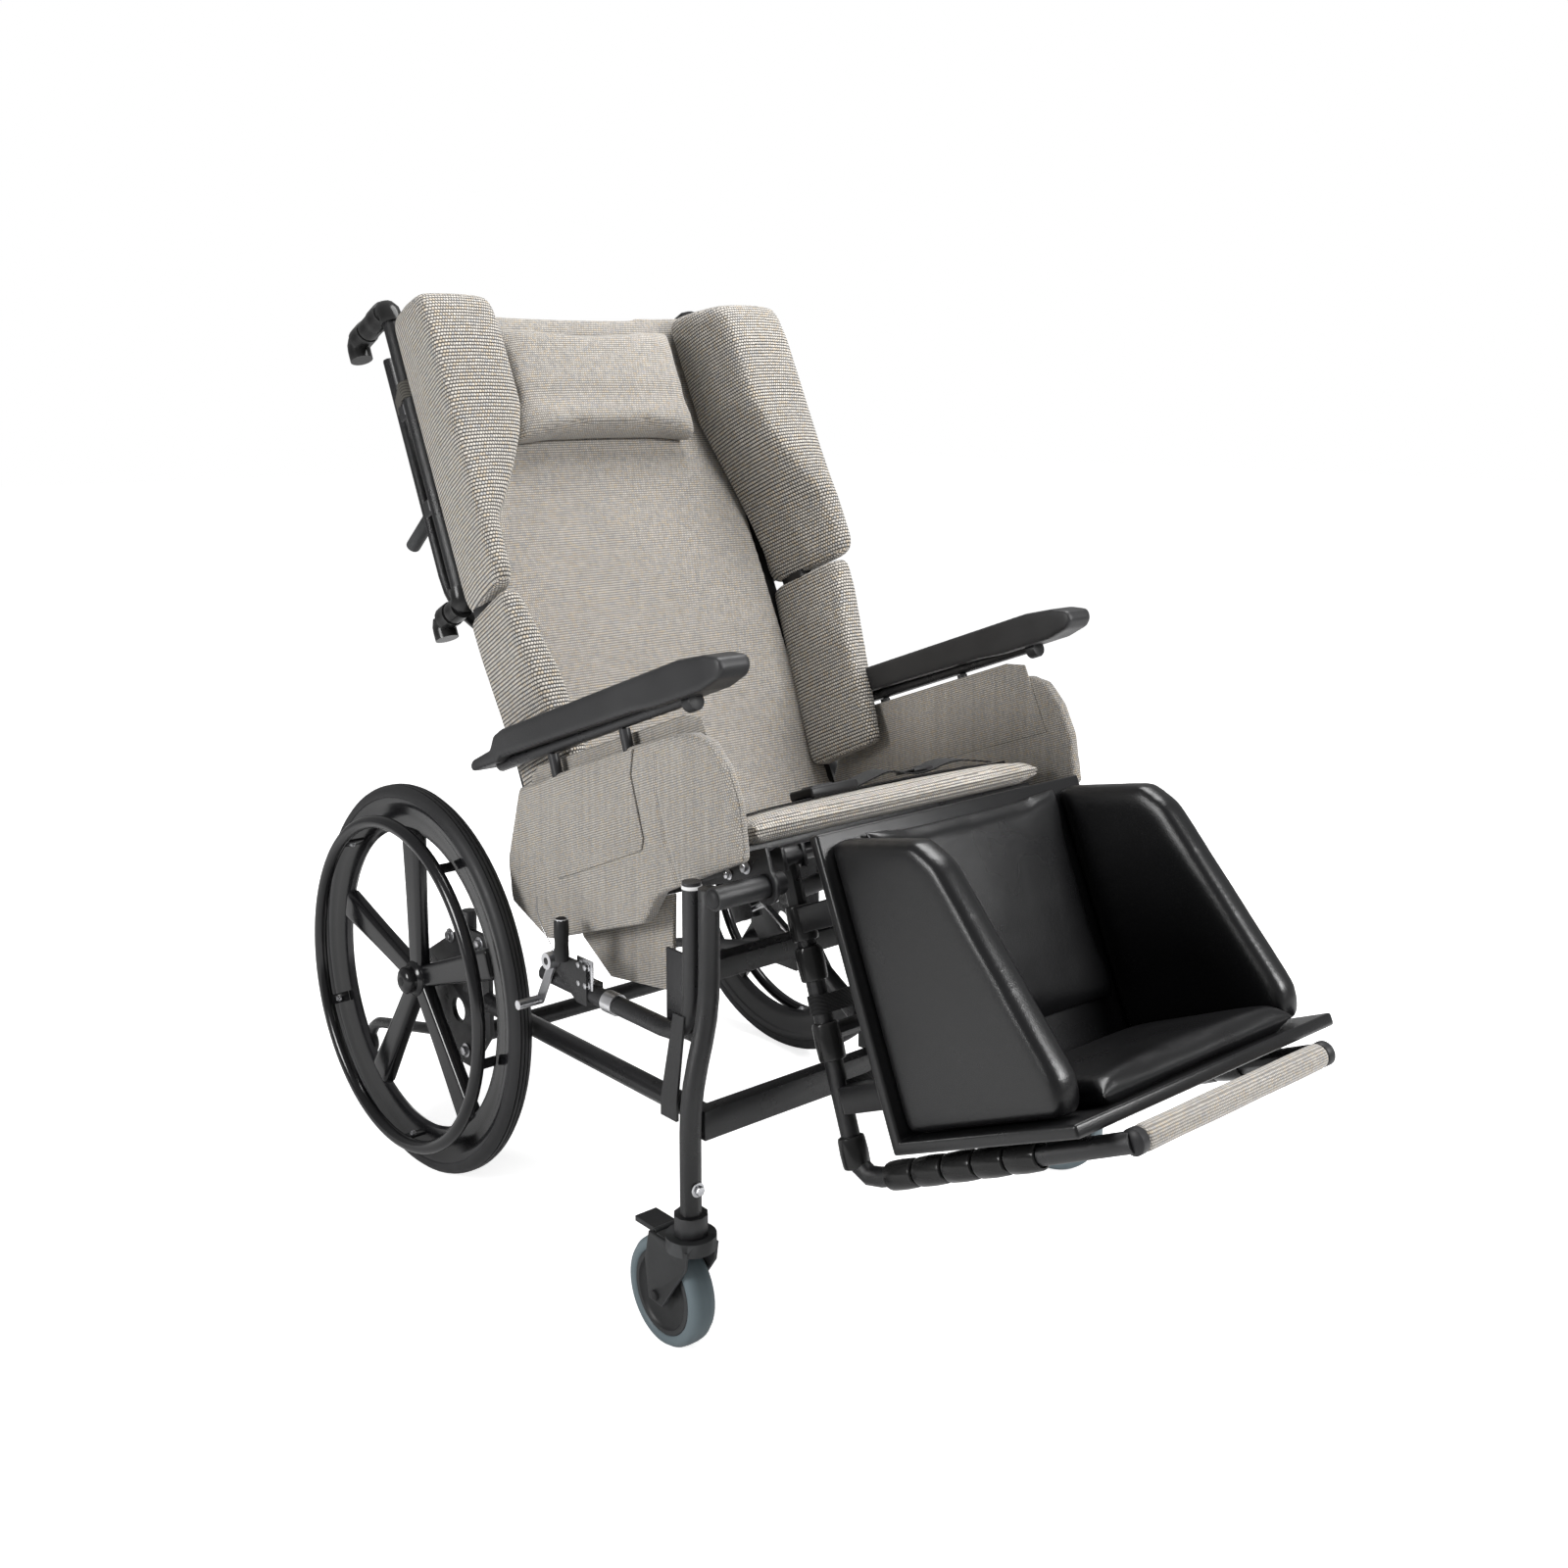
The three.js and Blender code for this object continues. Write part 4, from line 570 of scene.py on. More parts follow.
def make_finishes(settings):
    dark = tuple(settings.paint_colour)
    cloth = Vector(settings.cloth_colour)
    tan = Vector((cloth[0] * 1.08, cloth[1] * 1.0, cloth[2] * 0.88))
    blue = Vector((cloth[0] * 0.86, cloth[1] * 0.9, cloth[2] * 0.97))
    shades = [tuple(shade) for shade in (
        cloth * 1.1, cloth * 1.22, cloth * 1.36, cloth * 1.16, tan * 1.25, cloth * 1.42, blue * 1.2,
        cloth * 1.28, tan * 1.1, cloth * 1.34, cloth * 1.2,
    )]
    fine = [tuple(shade) for shade in (
        cloth * 0.9, cloth * 0.98, cloth * 1.06, tan * 0.98, cloth * 1.02, blue * 0.98, cloth,
    )]
    # Name, dark and light colour, roughness, scale and depth of the grain, then what grained adds
    for key, *look in (
        ("paint", "powder_coat", dark, tuple(c * 1.6 for c in dark), 0.3, 1100, 0.0004, 0, 0.06, 0.42),
        ("zinc", "zinc_plate", (0.27, 0.275, 0.29), (0.42, 0.42, 0.43), 0.3, 500, 0.00004, 1.0),
        ("ring", "pale_ring", (0.3, 0.3, 0.3), (0.42, 0.42, 0.42), 0.5, 500, 0.00004),
        ("rod", "polished_rod", (0.66, 0.67, 0.69), (0.78, 0.78, 0.79), 0.14, 300, 0, 1.0, 0.05),
        ("rim", "gloss_rim", (0.004, 0.004, 0.0045), (0.008, 0.008, 0.009), 0.17, 200, 0, 0, 0.04, 0.4),
        ("tyre", "tyre_rubber", (0.012, 0.012, 0.0125), (0.02, 0.02, 0.021), 0.5, 900, 0.0001),
        ("hard", "charcoal_plastic", (0.015, 0.0155, 0.016), (0.024, 0.025, 0.026), 0.45, 1500, 0.00008),
        ("grey", "grey_rubber", (0.075, 0.098, 0.108), (0.105, 0.13, 0.142), 0.5, 800, 0.00008),
        ("pad", "moulded_arm", (0.016, 0.016, 0.017), (0.024, 0.024, 0.025), 0.42, 1300, 0.00016, 0,
         0.06, 0.36),
        ("black", "black_cap", (0.008, 0.008, 0.008), (0.014, 0.014, 0.015), 0.42, 900, 0.00006),
        ("wrap", "gloss_wrap", (0.006, 0.006, 0.006), (0.012, 0.012, 0.012), 0.2, 60, 0.0004),
    ):
        finishes[key] = grained(*look)
    back_lean = TILT + LEAN
    # Each weave's last numbers are the bump depth, the painted shade left in the gaps between yarns, and
    # the streaks
    finishes.update(
        seat_cloth=woven("seat_weave", TILT, (4.2, 4.2), shades, 0.9, 0.1),
        back_cloth=woven("back_weave", back_lean, (4.4, 5.6), shades, 1.8, 0.02),
        sling_cloth=woven("sling_weave", back_lean, (3.4, 4.0), fine, 0.5, 0.36, 0.15),
        panel_cloth=woven("panel_weave", TILT, (3.0, 3.2), fine, 0.5, 0.36, 0.13),
        vinyl=soft_vinyl("black_vinyl"),
        belt=webbing_cloth("belt_webbing", (0.009, 0.009, 0.0095)),
        strap=webbing_cloth("strap_webbing", (0.075, 0.07, 0.06)),
    )


# Sizes and colours that a user would change
class CLOTH_PG_settings(PropertyGroup):
    cloth_colour: FloatVectorProperty(
        name="Cloth", description="Middle colour of the woven cloth", subtype="COLOR",
        size=3, min=0, max=1, default=(0.425, 0.395, 0.355),
    )
    paint_colour: FloatVectorProperty(
        name="Paint", description="Colour of the powder coated frame", subtype="COLOR",
        size=3, min=0, max=1, default=(0.005, 0.005, 0.0055),
    )
    voxel: FloatProperty(
        name="Cloth detail", description="Side of the cells that the cushions are remeshed with",
        default=0.006, min=0.004, max=0.01, unit="LENGTH",
    )
    pressure: FloatProperty(
        name="Filling", description="Air pressure that swells the cushions", default=4.0, min=0, max=10,
    )


class WHEEL_PG_settings(PropertyGroup):
    wheel_diameter: FloatProperty(
        name="Wheel", description="Outer diameter of a rear wheel", default=0.610, unit="LENGTH",
    )
    handrim_diameter: FloatProperty(
        name="Handrim", description="Outer diameter of a handrim", default=0.526, unit="LENGTH",
    )
    caster_diameter: FloatProperty(
        name="Caster", description="Outer diameter of a caster", default=0.1436, unit="LENGTH",
    )
    spokes: IntProperty(name="Spokes", description="Spokes in each rear wheel", default=5, min=3, max=8)


class STAGE_PG_settings(PropertyGroup):
    lens: FloatProperty(
        name="Lens", description="Focal length on a 36 mm sensor", default=38.78, unit="CAMERA",
    )
    camera_place: FloatVectorProperty(
        name="Camera", description="Where the camera stands", subtype="XYZ", unit="LENGTH",
        size=3, default=(-1.62054, -1.84337, 1.22515),
    )
    floor_colour: FloatVectorProperty(
        name="Floor", description="Colour of the floor", subtype="COLOR",
        size=3, min=0, max=1, default=(0.86, 0.86, 0.86),
    )


class WHEELCHAIR_OT_stage(Operator):
    """Makes the camera, the floor, the lamps and the pale surroundings"""

    bl_idname = "wheelchair.stage"
    bl_label = "Stage"

    pitch, heading, shift_y = 7.47, 40.93, -0.1125
    middle = Vector((0, 0, 0.6))
    lamps = (
        ("key_lamp", (-2.9, 0.25, 1.5), 1.1, 62),
        ("top_lamp", (0.7, 0.0, 3.2), 1.8, 88),
        ("front_lamp", (1.1, -3.0, 2.2), 1.2, 112),
    )

    def lamp(self, name, place, size, energy):
        bpy.ops.object.light_add(type="AREA", location=place)
        light = new_piece(name)
        light.data.shape = "DISK"
        light.data.size = size
        light.data.energy = energy
        aim = self.middle - Vector(place)
        light.rotation_euler = aim.to_track_quat("-Z", "Y").to_euler()

    def execute(self, context):
        stage = context.scene.wheelchair_stage
        deselect_all()
        bpy.ops.object.camera_add(location=stage.camera_place)
        camera = new_piece("camera")
        camera.rotation_euler = (math.radians(90 - self.pitch), 0, math.radians(-self.heading))
        camera.data.sensor_width = 36
        camera.data.lens = stage.lens
        camera.data.shift_y = self.shift_y
        camera.data.clip_end = 60
        context.scene.camera = camera
        context.scene.view_settings.view_transform = "Standard"
        deselect_all()
        bpy.ops.mesh.primitive_plane_add(size=40)
        floor = new_piece("floor")
        pale = Finish("pale_floor", 0.9, specular_ior_level=0.0)
        tone = stage.floor_colour
        stops = [(0.3, tuple(c * 0.99 for c in tone)), (0.7, tuple(tone))]
        pale.link(pale.ramp(pale.noise(0.7), stops), "Base Color")
        seen = pale.add("ShaderNodeLightPath").outputs["Is Camera Ray"]
        glow = pale.add("ShaderNodeEmission", Strength=pale.math("MULTIPLY", seen, 0.75))
        both = pale.add("ShaderNodeAddShader", i0=pale.shader.outputs[0], i1=glow.outputs[0])
        output = pale.tree.nodes["Material Output"]
        pale.tree.links.new(both.outputs[0], output.inputs["Surface"])
        floor.data.materials.append(pale.material)
        world = context.scene.world or bpy.data.worlds.new("surroundings")
        context.scene.world = world
        world.use_nodes = True
        nodes, links = world.node_tree.nodes, world.node_tree.links
        nodes.clear()
        mix, out = nodes.new("ShaderNodeMixShader"), nodes.new("ShaderNodeOutputWorld")
        links.new(nodes.new("ShaderNodeLightPath").outputs["Is Camera Ray"], mix.inputs[0])
        for way, strength in ((1, 0.3), (2, 1.0)):
            sky = nodes.new("ShaderNodeBackground")
            sky.inputs["Color"].default_value = (1, 1, 1, 1)
            sky.inputs["Strength"].default_value = strength
            links.new(sky.outputs[0], mix.inputs[way])
        links.new(mix.outputs[0], out.inputs["Surface"])
        for settings in self.lamps:
            self.lamp(*settings)
        make_finishes(context.scene.wheelchair_cloth)
        return {"FINISHED"}


class WHEELCHAIR_OT_frame(Operator):
    """Paints the frame, the seat's, back's and leg rest's tubes and the gas struts"""

    bl_idname = "wheelchair.frame"
    bl_label = "Frame"

    painted = (
        "front_cross_tube", "rear_cross_tube", "upper_cross_bar", "front_post", "lower_rail",
        "axle_plate", "anti_tip", "seat_frame", "back_frame", "leg_frame", "arm_tube",
        "tilt_strut_cylinder", "recline_strut_cylinder",
    )
    loop = ((-667, 606), (-667, 396), (-326, 396))

    def execute(self, context):
        nodes = frame["nodes"]
        for stem in self.painted:
            for node in [n for n in nodes if n in (stem, stem + "_right", stem + "_left")]:
                piece = eased(merged_copy(node, "painted"), 0.8, 2, math.radians(60))
                carry(piece, body_of[node], "paint", [node], smooth=50)
        for side, sign in SIDES:
            x, node = sign * SIDE_TUBE_X, f"side_tube_{side}"
            loop = tube(node + "_painted", [(x, y, z) for y, z in self.loop], 25, 63, 8, BASE)
            y, z = self.loop[0]
            ring = spun(
                f"side_tube_rings_{side}", [(-3, 10), (-3, 13.2), (1.5, 13.2), (1.5, 10)], 32,
                BASE @ along((x, y, z - 6), (x, y, z + 9)),
            )
            carry(loop, "base", "paint", [node], smooth=50)
            carry(ring, "base", "ring", smooth=35)
        for node in ("tilt_strut_rod", "recline_strut_rod"):
            piece = merged_copy(node, "polished")
            carry(piece, body_of[node], "rod", [node], smooth=50)
        return {"FINISHED"}


class WHEELCHAIR_OT_rear_wheels(Operator):
    """Models the rear wheels: grooved tyres, five-spoke rims, hubs and handrims"""

    bl_idname = "wheelchair.rear_wheels"
    bl_label = "Rear wheels"

    tread = mirrored((
        (-12.5, -22), (-16.8, -18), (-17.5, -13), (-15.5, -6.5), (-10.5, -2), (-7, -0.6), (-6.8, -2.4),
        (-5.4, -2.4), (-5.2, -0.2), (-0.9, 0), (-0.7, -1.8),
    ))
    rim = (
        (-15, -19.4), (-15, -26), (-13.2, -30), (-11.6, -42), (-9, -58), (-5.4, -68), (0, -71.6),
        (5.4, -68), (9, -58), (11.6, -42), (13.2, -30), (15, -26), (15, -19.4), (10, -21), (-10, -21),
    )
    hub = (
        (-34.5, 0), (-34.3, 7), (-33, 14), (-30.4, 18.6), (-27, 21), (-17, 21.4), (-14, 26), (-11, 28),
        (11, 28), (14, 25), (15.5, 20), (15.5, 0),
    )

    wheel_x, handrim_x, handrim_bar = -377.5, -45.6, 10
    first_spoke, first_tab = 20, -14

    def spoke(self, name, length):
        """A tapered bar from inside the hub out to the rim, narrower at its middle."""
        hub_end = 14
        deselect_all()
        bpy.ops.mesh.primitive_cube_add(size=1)
        bar = new_piece(name)
        for vertex in bar.data.vertices:
            high, outer = vertex.co.z > 0, vertex.co.x < 0
            width = math.copysign((27 if high else 19) * (0.86 if outer else 1), vertex.co.y)
            vertex.co = Vector((-11.5 if outer else 10.5, width, length if high else hub_end)) / 1000
        edit(bar, bpy.ops.mesh.subdivide, number_cuts=1)
        for vertex in bar.data.vertices:
            if abs(vertex.co.z * 1000 - (length + hub_end) / 2) < 5:
                vertex.co.y *= 0.94
                vertex.co.x *= 0.92
        eased(bar, 6.8, 4)
        return modify(bar, "SUBSURF", levels=1, render_levels=1)

    def execute(self, context):
        sizes = context.scene.wheelchair_wheels
        radius = sizes.wheel_diameter * 500
        place = BASE @ shift(self.wheel_x, 0, radius)
        tyre = spun("tyre_right_grooved", [(a, radius + r) for a, r in self.tread], 128, place)
        rim = spun("rim", [(a, radius + r) for a, r in self.rim], 96)
        parts = [rim, spun("hub", self.hub, 32)]
        bar = self.spoke("spoke", radius - 66)
        for number in range(sizes.spokes):
            angle = 90 - self.first_spoke - number * 360 / sizes.spokes
            parts.append(copied(bar, f"spoke_{number}"))
            parts[-1].data.transform(Matrix.Rotation(math.radians(angle), 4, "X"))
        bpy.data.objects.remove(bar)
        wheel = settle(joined(parts, "mag_wheel_right_gloss"), place)
        major = sizes.handrim_diameter * 500 - self.handrim_bar
        deselect_all()
        bpy.ops.mesh.primitive_torus_add(
            major_radius=major / 1000, minor_radius=self.handrim_bar / 1000,
            major_segments=112, minor_segments=16,
        )
        ring = new_piece("ring")
        ring.data.transform(Matrix.Rotation(math.pi / 2, 4, "Y"))
        ring.data.transform(shift(self.handrim_x, 0, 0))
        hoops, screws = [ring], []
        for number in range(5):
            turn = Matrix.Rotation(math.radians(90 - self.first_tab - 72 * number), 4, "X")
            tab = box("tab", (-46, -8, major - 9), (-11, 8, major - 3.6), 1.6)
            tab.data.transform(turn)
            hoops.append(tab)
            flat = Matrix.Rotation(-math.pi / 2, 4, "Y")
            screws.append(bolt("screw", turn @ shift(-30, 0, major - 9) @ flat, 6, 3))
        hoop = settle(joined(hoops, "handrim_right_gloss"), place)
        screwed = settle(joined(screws, "handrim_screws_right"), place)
        cap = spun(
            "hub_button_right", [(-36, 0), (-36, 5), (-35, 7), (-33.6, 7.6), (-32, 0)], 24, place,
        )
        for piece, finish, slot, node in (
            (tyre, "tyre", slot_of["tyre_right"], "tyre"),
            (wheel, "rim", slot_of["mag_wheel_right"], "mag_wheel"),
            (hoop, "rim", slot_of["handrim_right"], "handrim"),
            (screwed, "zinc", "zinc", None), (cap, "black", "zinc", None),
        ):
            carry_both(piece, "rear_wheel_SIDE", finish, node, smooth=35)
        return {"FINISHED"}


class WHEELCHAIR_OT_casters(Operator):
    """Models the casters: grey tyres, dished wheels, forks and brake pedals"""

    bl_idname = "wheelchair.casters"
    bl_label = "Casters"

    tyre = mirrored((
        (-15, 54.5), (-18.3, 57), (-19.3, 62), (-17.6, 67), (-12, 70.8), (-5, 71.8),
    ))
    disc = mirrored((
        (-19, 0), (-19, 12), (-17.6, 15), (-14.2, 19), (-13.4, 24), (-13.4, 43), (-15, 46.5),
        (-17.4, 48.5), (-17.4, 54), (-15.5, 56.5),
    ))
    trail = 41
    pin_cap = ((31.5, 0), (31.3, 4), (30.4, 6.2), (28, 7), (25, 7), (25, 0))

    def execute(self, context):
        radius = context.scene.wheelchair_wheels.caster_diameter * 500
        for side, sign in SIDES:
            roller, swivel = f"caster_roller_{side}", f"caster_swivel_{side}"
            turn = Matrix.Rotation(math.radians(CASTER_TURN[side]), 4, "Z")
            axle = BASE @ shift(sign * STEM_X, STEM_Y, 0) @ turn @ shift(0, self.trail, radius)
            rubber = spun(f"caster_tyre_{side}_grey", self.tyre, 72, axle)
            carry(rubber, roller, "grey", [f"caster_wheel_{side}"], smooth=50)
            wheel = spun(f"caster_disc_{side}", self.disc, 56, axle)
            carry(wheel, roller, "hard", smooth=35)
            pins = [spun("cap", [(way * a, r) for a, r in self.pin_cap], 20, axle) for way in (-1, 1)]
            carry(joined(pins, f"caster_pin_caps_{side}"), swivel, "black", smooth=35)
            for stem, body in (("caster_fork", swivel), ("caster_pedal", f"caster_brake_{side}")):
                node = f"{stem}_{side}"
                piece = eased(merged_copy(node, "moulded"), 2.2)
                carry(piece, body, "hard", [node], smooth=50)
            forwards = Matrix.Rotation(math.pi / 2, 4, "Z")
            nut = bolt(f"stem_bolt_{side}", BASE @ shift(sign * STEM_X, -720, 226) @ forwards, 11, 6)
            carry(nut, "base", "zinc", smooth=30)
        return {"FINISHED"}


class WHEELCHAIR_OT_wheel_locks(Operator):
    """Plates the wheel locks, and adds their bolts, grips and wires"""

    bl_idname = "wheelchair.wheel_locks"
    bl_label = "Wheel locks"

    grip = (
        (-2, 0), (-2, 9.6), (6, 10.4), (22, 9.6), (40, 10.6), (54, 10.2), (58, 8), (60, 4), (60.4, 0),
    )
    bolts = ((-428, 436, 8), (-444, 436, 8), (-428, 410, 8), (-444, 410, 8))
    wire = ((364, -380, 424), (366, -350, 452), (362, -318, 480), (350, -300, 500))

    def execute(self, context):
        for side, sign in SIDES:
            bracket, lever = f"lock_bracket_{side}", f"lock_lever_{side}"
            body, tube_x = f"wheel_lock_{side}", sign * SIDE_TUBE_X
            piece = eased(merged_copy(bracket, "plated"), 0.6, 2, 1.0)
            carry(piece, "base", "paint", [bracket], smooth=45)
            low, high = sorted((sign * 360.4, sign * 363))
            cover = box("cover", (low, -456, 402), (high, -418, 446), 1, 2, BASE)
            clamp = spun(
                "clamp", [(-12, 12), (-12, 15), (12, 15), (12, 12)], 32,
                BASE @ along((tube_x, -492, 396), (tube_x, -470, 396)),
            )
            carry(joined([cover, clamp], f"lock_plates_{side}"), "base", "zinc", smooth=35)
            piece = merged_copy(lever, "plated")
            carry(piece, body, "zinc", [lever], smooth=50)
            grip = spun(
                f"lock_grip_{side}", self.grip, 24,
                BASE @ along((sign * 377.3, -403, 440), (sign * 377.3, -403, 500)),
            )
            carry(grip, body, "black")
            bolts = heads(BASE, sign, 363.5, 4, self.bolts)
            carry(joined(bolts, f"lock_bolts_{side}"), "base", "zinc", smooth=30)
            line = [(sign * x, y, z) for x, y, z in self.wire]
            carry(tube(f"lock_wire_{side}", line, 2.2, 20, 3, BASE), "base", "rod", smooth=50)
        return {"FINISHED"}


class WHEELCHAIR_OT_seat(Operator):
    """Fills and covers the seat cushion, and lays the lap belt across it"""

    bl_idname = "wheelchair.seat"
    bl_label = "Seat"

    tail = (
        (-30, 104, 104), (10, 100, 112), (40, 98, 118), (78, 102, 108), (120, 110, 104),
        (170, 100, 114), (215, 104, 108), (262, 112, 100),
    )

    def execute(self, context):
        cell = context.scene.wheelchair_cloth.voxel * 1000
        cushion = filled(merged_copy("seat_cushion", "woven"), cell, 5, 3.0, 4)
        seam(cushion, SEAT, [(x, 40, 94) for x in range(-270, 271, 30)], 9, 2.4)
        carry(cushion, "seat", "seat_cloth", ["seat_cushion"], smooth=60)
        edge = on_surface(cushion, SEAT, [(x, 10, 72) for x in range(-276, 277, 23)], lift=0.9)
        carry(tube("seat_welt", edge, 6, 0, 2), "seat", "seat_cloth", smooth=60)
        pan = box("seat_pan", (-262, 40, 30), (262, 430, 34), 1, 2, SEAT)
        carry(pan, "seat", "black")
        belt = merged_copy("lap_belt", "webbing")
        carry(belt, "seat", "belt", ["lap_belt"])
        buckle = box("buckle", (-112, 80, 99), (-24, 130, 113), 4, 4, SEAT)
        button = box("button", (-98, 92, 111), (-60, 118, 115), 2, 3, SEAT)
        carry(joined([buckle, button], "belt_buckle"), "seat", "black")
        tail = ribbon("belt_tail", self.tail, (0, 1, 0.25), 38, 2.2, 26, SEAT)
        carry(tail, "seat", "belt", smooth=50)
        tongue = box("belt_tongue", (92, 84, 105), (130, 126, 109), 1.4, 2, SEAT)
        carry(tongue, "seat", "black")
        return {"FINISHED"}


class WHEELCHAIR_OT_side_panels(Operator):
    """Covers the side panels, their rolled fronts, pockets and skirts"""

    bl_idname = "wheelchair.side_panels"
    bl_label = "Side panels"

    outline = (
        (460, 212), (530, 117), (543, 55), (467, -11), (218, -15), (170, 19), (-16, 35), (-30, 107),
        (-24, 154), (-4, 192), (26, 208), (70, 215), (160, 217),
    )
    pocket = (
        (150, 212), (168, 180), (170, 94), (180, 80), (396, 70), (452, 120), (452, 205), (300, 212),
    )
    flap = ((14, 120), (24, 226), (60, 236), (430, 236), (456, 222), (468, 120))
    roll = ((66, 214), (104, 196), (122, 150), (124, 90), (118, 27))

    def execute(self, context):
        panel = plate("side_panel_right_woven", self.outline, 25, 5, SEAT @ shift(-311.5, 0, 0))
        filled(panel, 4.5, 2)

        # The outer face draws in at the panel's rolled front
        to_seat = SEAT.inverted()
        for vertex in panel.data.vertices:
            spot = (to_seat @ vertex.co) * 1000
            front = min(max((60 - spot.y) / 90, 0), 1)
            if spot.x < -326:
                spot.x += 8 * front ** 2
            vertex.co = SEAT @ (spot / 1000)
        seam(panel, SEAT, [(-345, y, z) for y, z in self.roll], 7, 2.4)
        pocket = plate("pocket_right", self.pocket, 3.4, 1.2, SEAT @ shift(-336.4, 0, 0))
        skirt = eased(merged_copy("side_skirt_right", "woven"), 2)
        flap = plate("side_flap_right", self.flap, 3, 1.2, SEAT @ shift(-309.6, 0, 0))
        carry_both(panel, "seat", "panel_cloth", "side_panel")
        for piece, node in ((pocket, None), (flap, None), (skirt, "side_skirt")):
            carry_both(piece, "seat", "panel_cloth", node)
        return {"FINISHED"}


class WHEELCHAIR_OT_arms(Operator):
    """Moulds the arm pads and caps the arm tubes"""

    bl_idname = "wheelchair.arms"
    bl_label = "Arms"

    profile = (
        (-88, 283), (-60, 293), (-7, 299), (440, 299), (466, 294), (484, 276), (544, 271), (552, 262),
        (548, 254), (470, 254), (459, 260), (110, 255), (60, 251), (-40, 251), (-78, 258), (-90, 268),
    )

    def execute(self, context):
        mould = plate("arm_pad_right_moulded", self.profile, 59, 7, SEAT @ shift(-299, 0, 0))
        filled(mould, 4, 1)

        # The pad narrows to its nose and to its tail
        to_seat = SEAT.inverted()
        for vertex in mould.data.vertices:
            spot = (to_seat @ vertex.co) * 1000
            nose = min(max((40 - spot.y) / 130, 0), 1)
            tail = min(max((spot.y - 430) / 120, 0), 1)
            spot.x = -ARM_X + (spot.x + ARM_X) * (1 - 0.14 * nose ** 2 - 0.1 * tail)
            vertex.co = SEAT @ (spot / 1000)
        carry_both(mould, "arm_SIDE", "pad", "arm_pad", smooth=50)
        for side, sign in SIDES:
            x = sign * ARM_X
            cap = spun(
                "cap", [(-3, 0), (-3, 8), (-2, 12), (0, 13), (14, 13), (14, 0)], 28,
                SEAT @ along((x, 6, 246), (x, 40, 246)),
            )
            sleeves = [
                spun("sleeve", [(0, 0), (0, 8), (84, 8), (84, 0)], 24,
                     SEAT @ along((x, y, 242), (x, y, 150))) for y in (173, 358)
            ]
            pieces = joined([cap, *sleeves], f"arm_sleeves_{side}")
            carry(pieces, f"arm_{side}", "black")
        return {"FINISHED"}


class WHEELCHAIR_OT_back(Operator):
    """Stretches the back's sling and fills its pillow, wings and bolsters"""

    bl_idname = "wheelchair.back"
    bl_label = "Back"

    def execute(self, context):
        cell = context.scene.wheelchair_cloth.voxel * 1000
        sling = filled(merged_copy("back_cushion", "woven", "back_sling"), cell + 2.5, 3, 0.5)
        for z in (700, 915):
            seam(sling, BACK, [(x, -32, z) for x in range(-190, 191, 20)], 6, 1.2)
        carry(sling, "back", "sling_cloth", ["back_cushion"], smooth=60)
        pillow = filled(merged_copy("headrest_pillow", "woven"), cell, 5, 4.0, 10)
        seam(pillow, BACK, [(x, -90, 772) for x in range(-180, 181, 20)], 30, 2.5)
        carry(pillow, "back", "sling_cloth", ["headrest_pillow"], smooth=60)
        # Painted shade: dark vinyl strips behind the gaps between the sling and the bolsters stand in
        # for the shade in those gaps
        carry_both(box("back_liner_right", (-298, -20, 50), (-252, -8, 930), 5, 3, BACK),
                   "back", "vinyl")
        # Painted shade: dark vinyl blocks at the wings' lower ends fill the gap between wing and bolster
        # with the look of shade
        carry_both(box("wing_fold_right", (-322, -92, 430), (-294, -40, 445), 3, 3, BACK),
                   "back", "vinyl")
        for stem in ("wing", "bolster"):
            piece = merged_copy(f"{stem}_right", "woven")
            if stem == "bolster":
                edit(piece, bpy.ops.mesh.convex_hull)
            carry_both(filled(piece, 4.5, 9), "back", "back_cloth", stem)
        return {"FINISHED"}


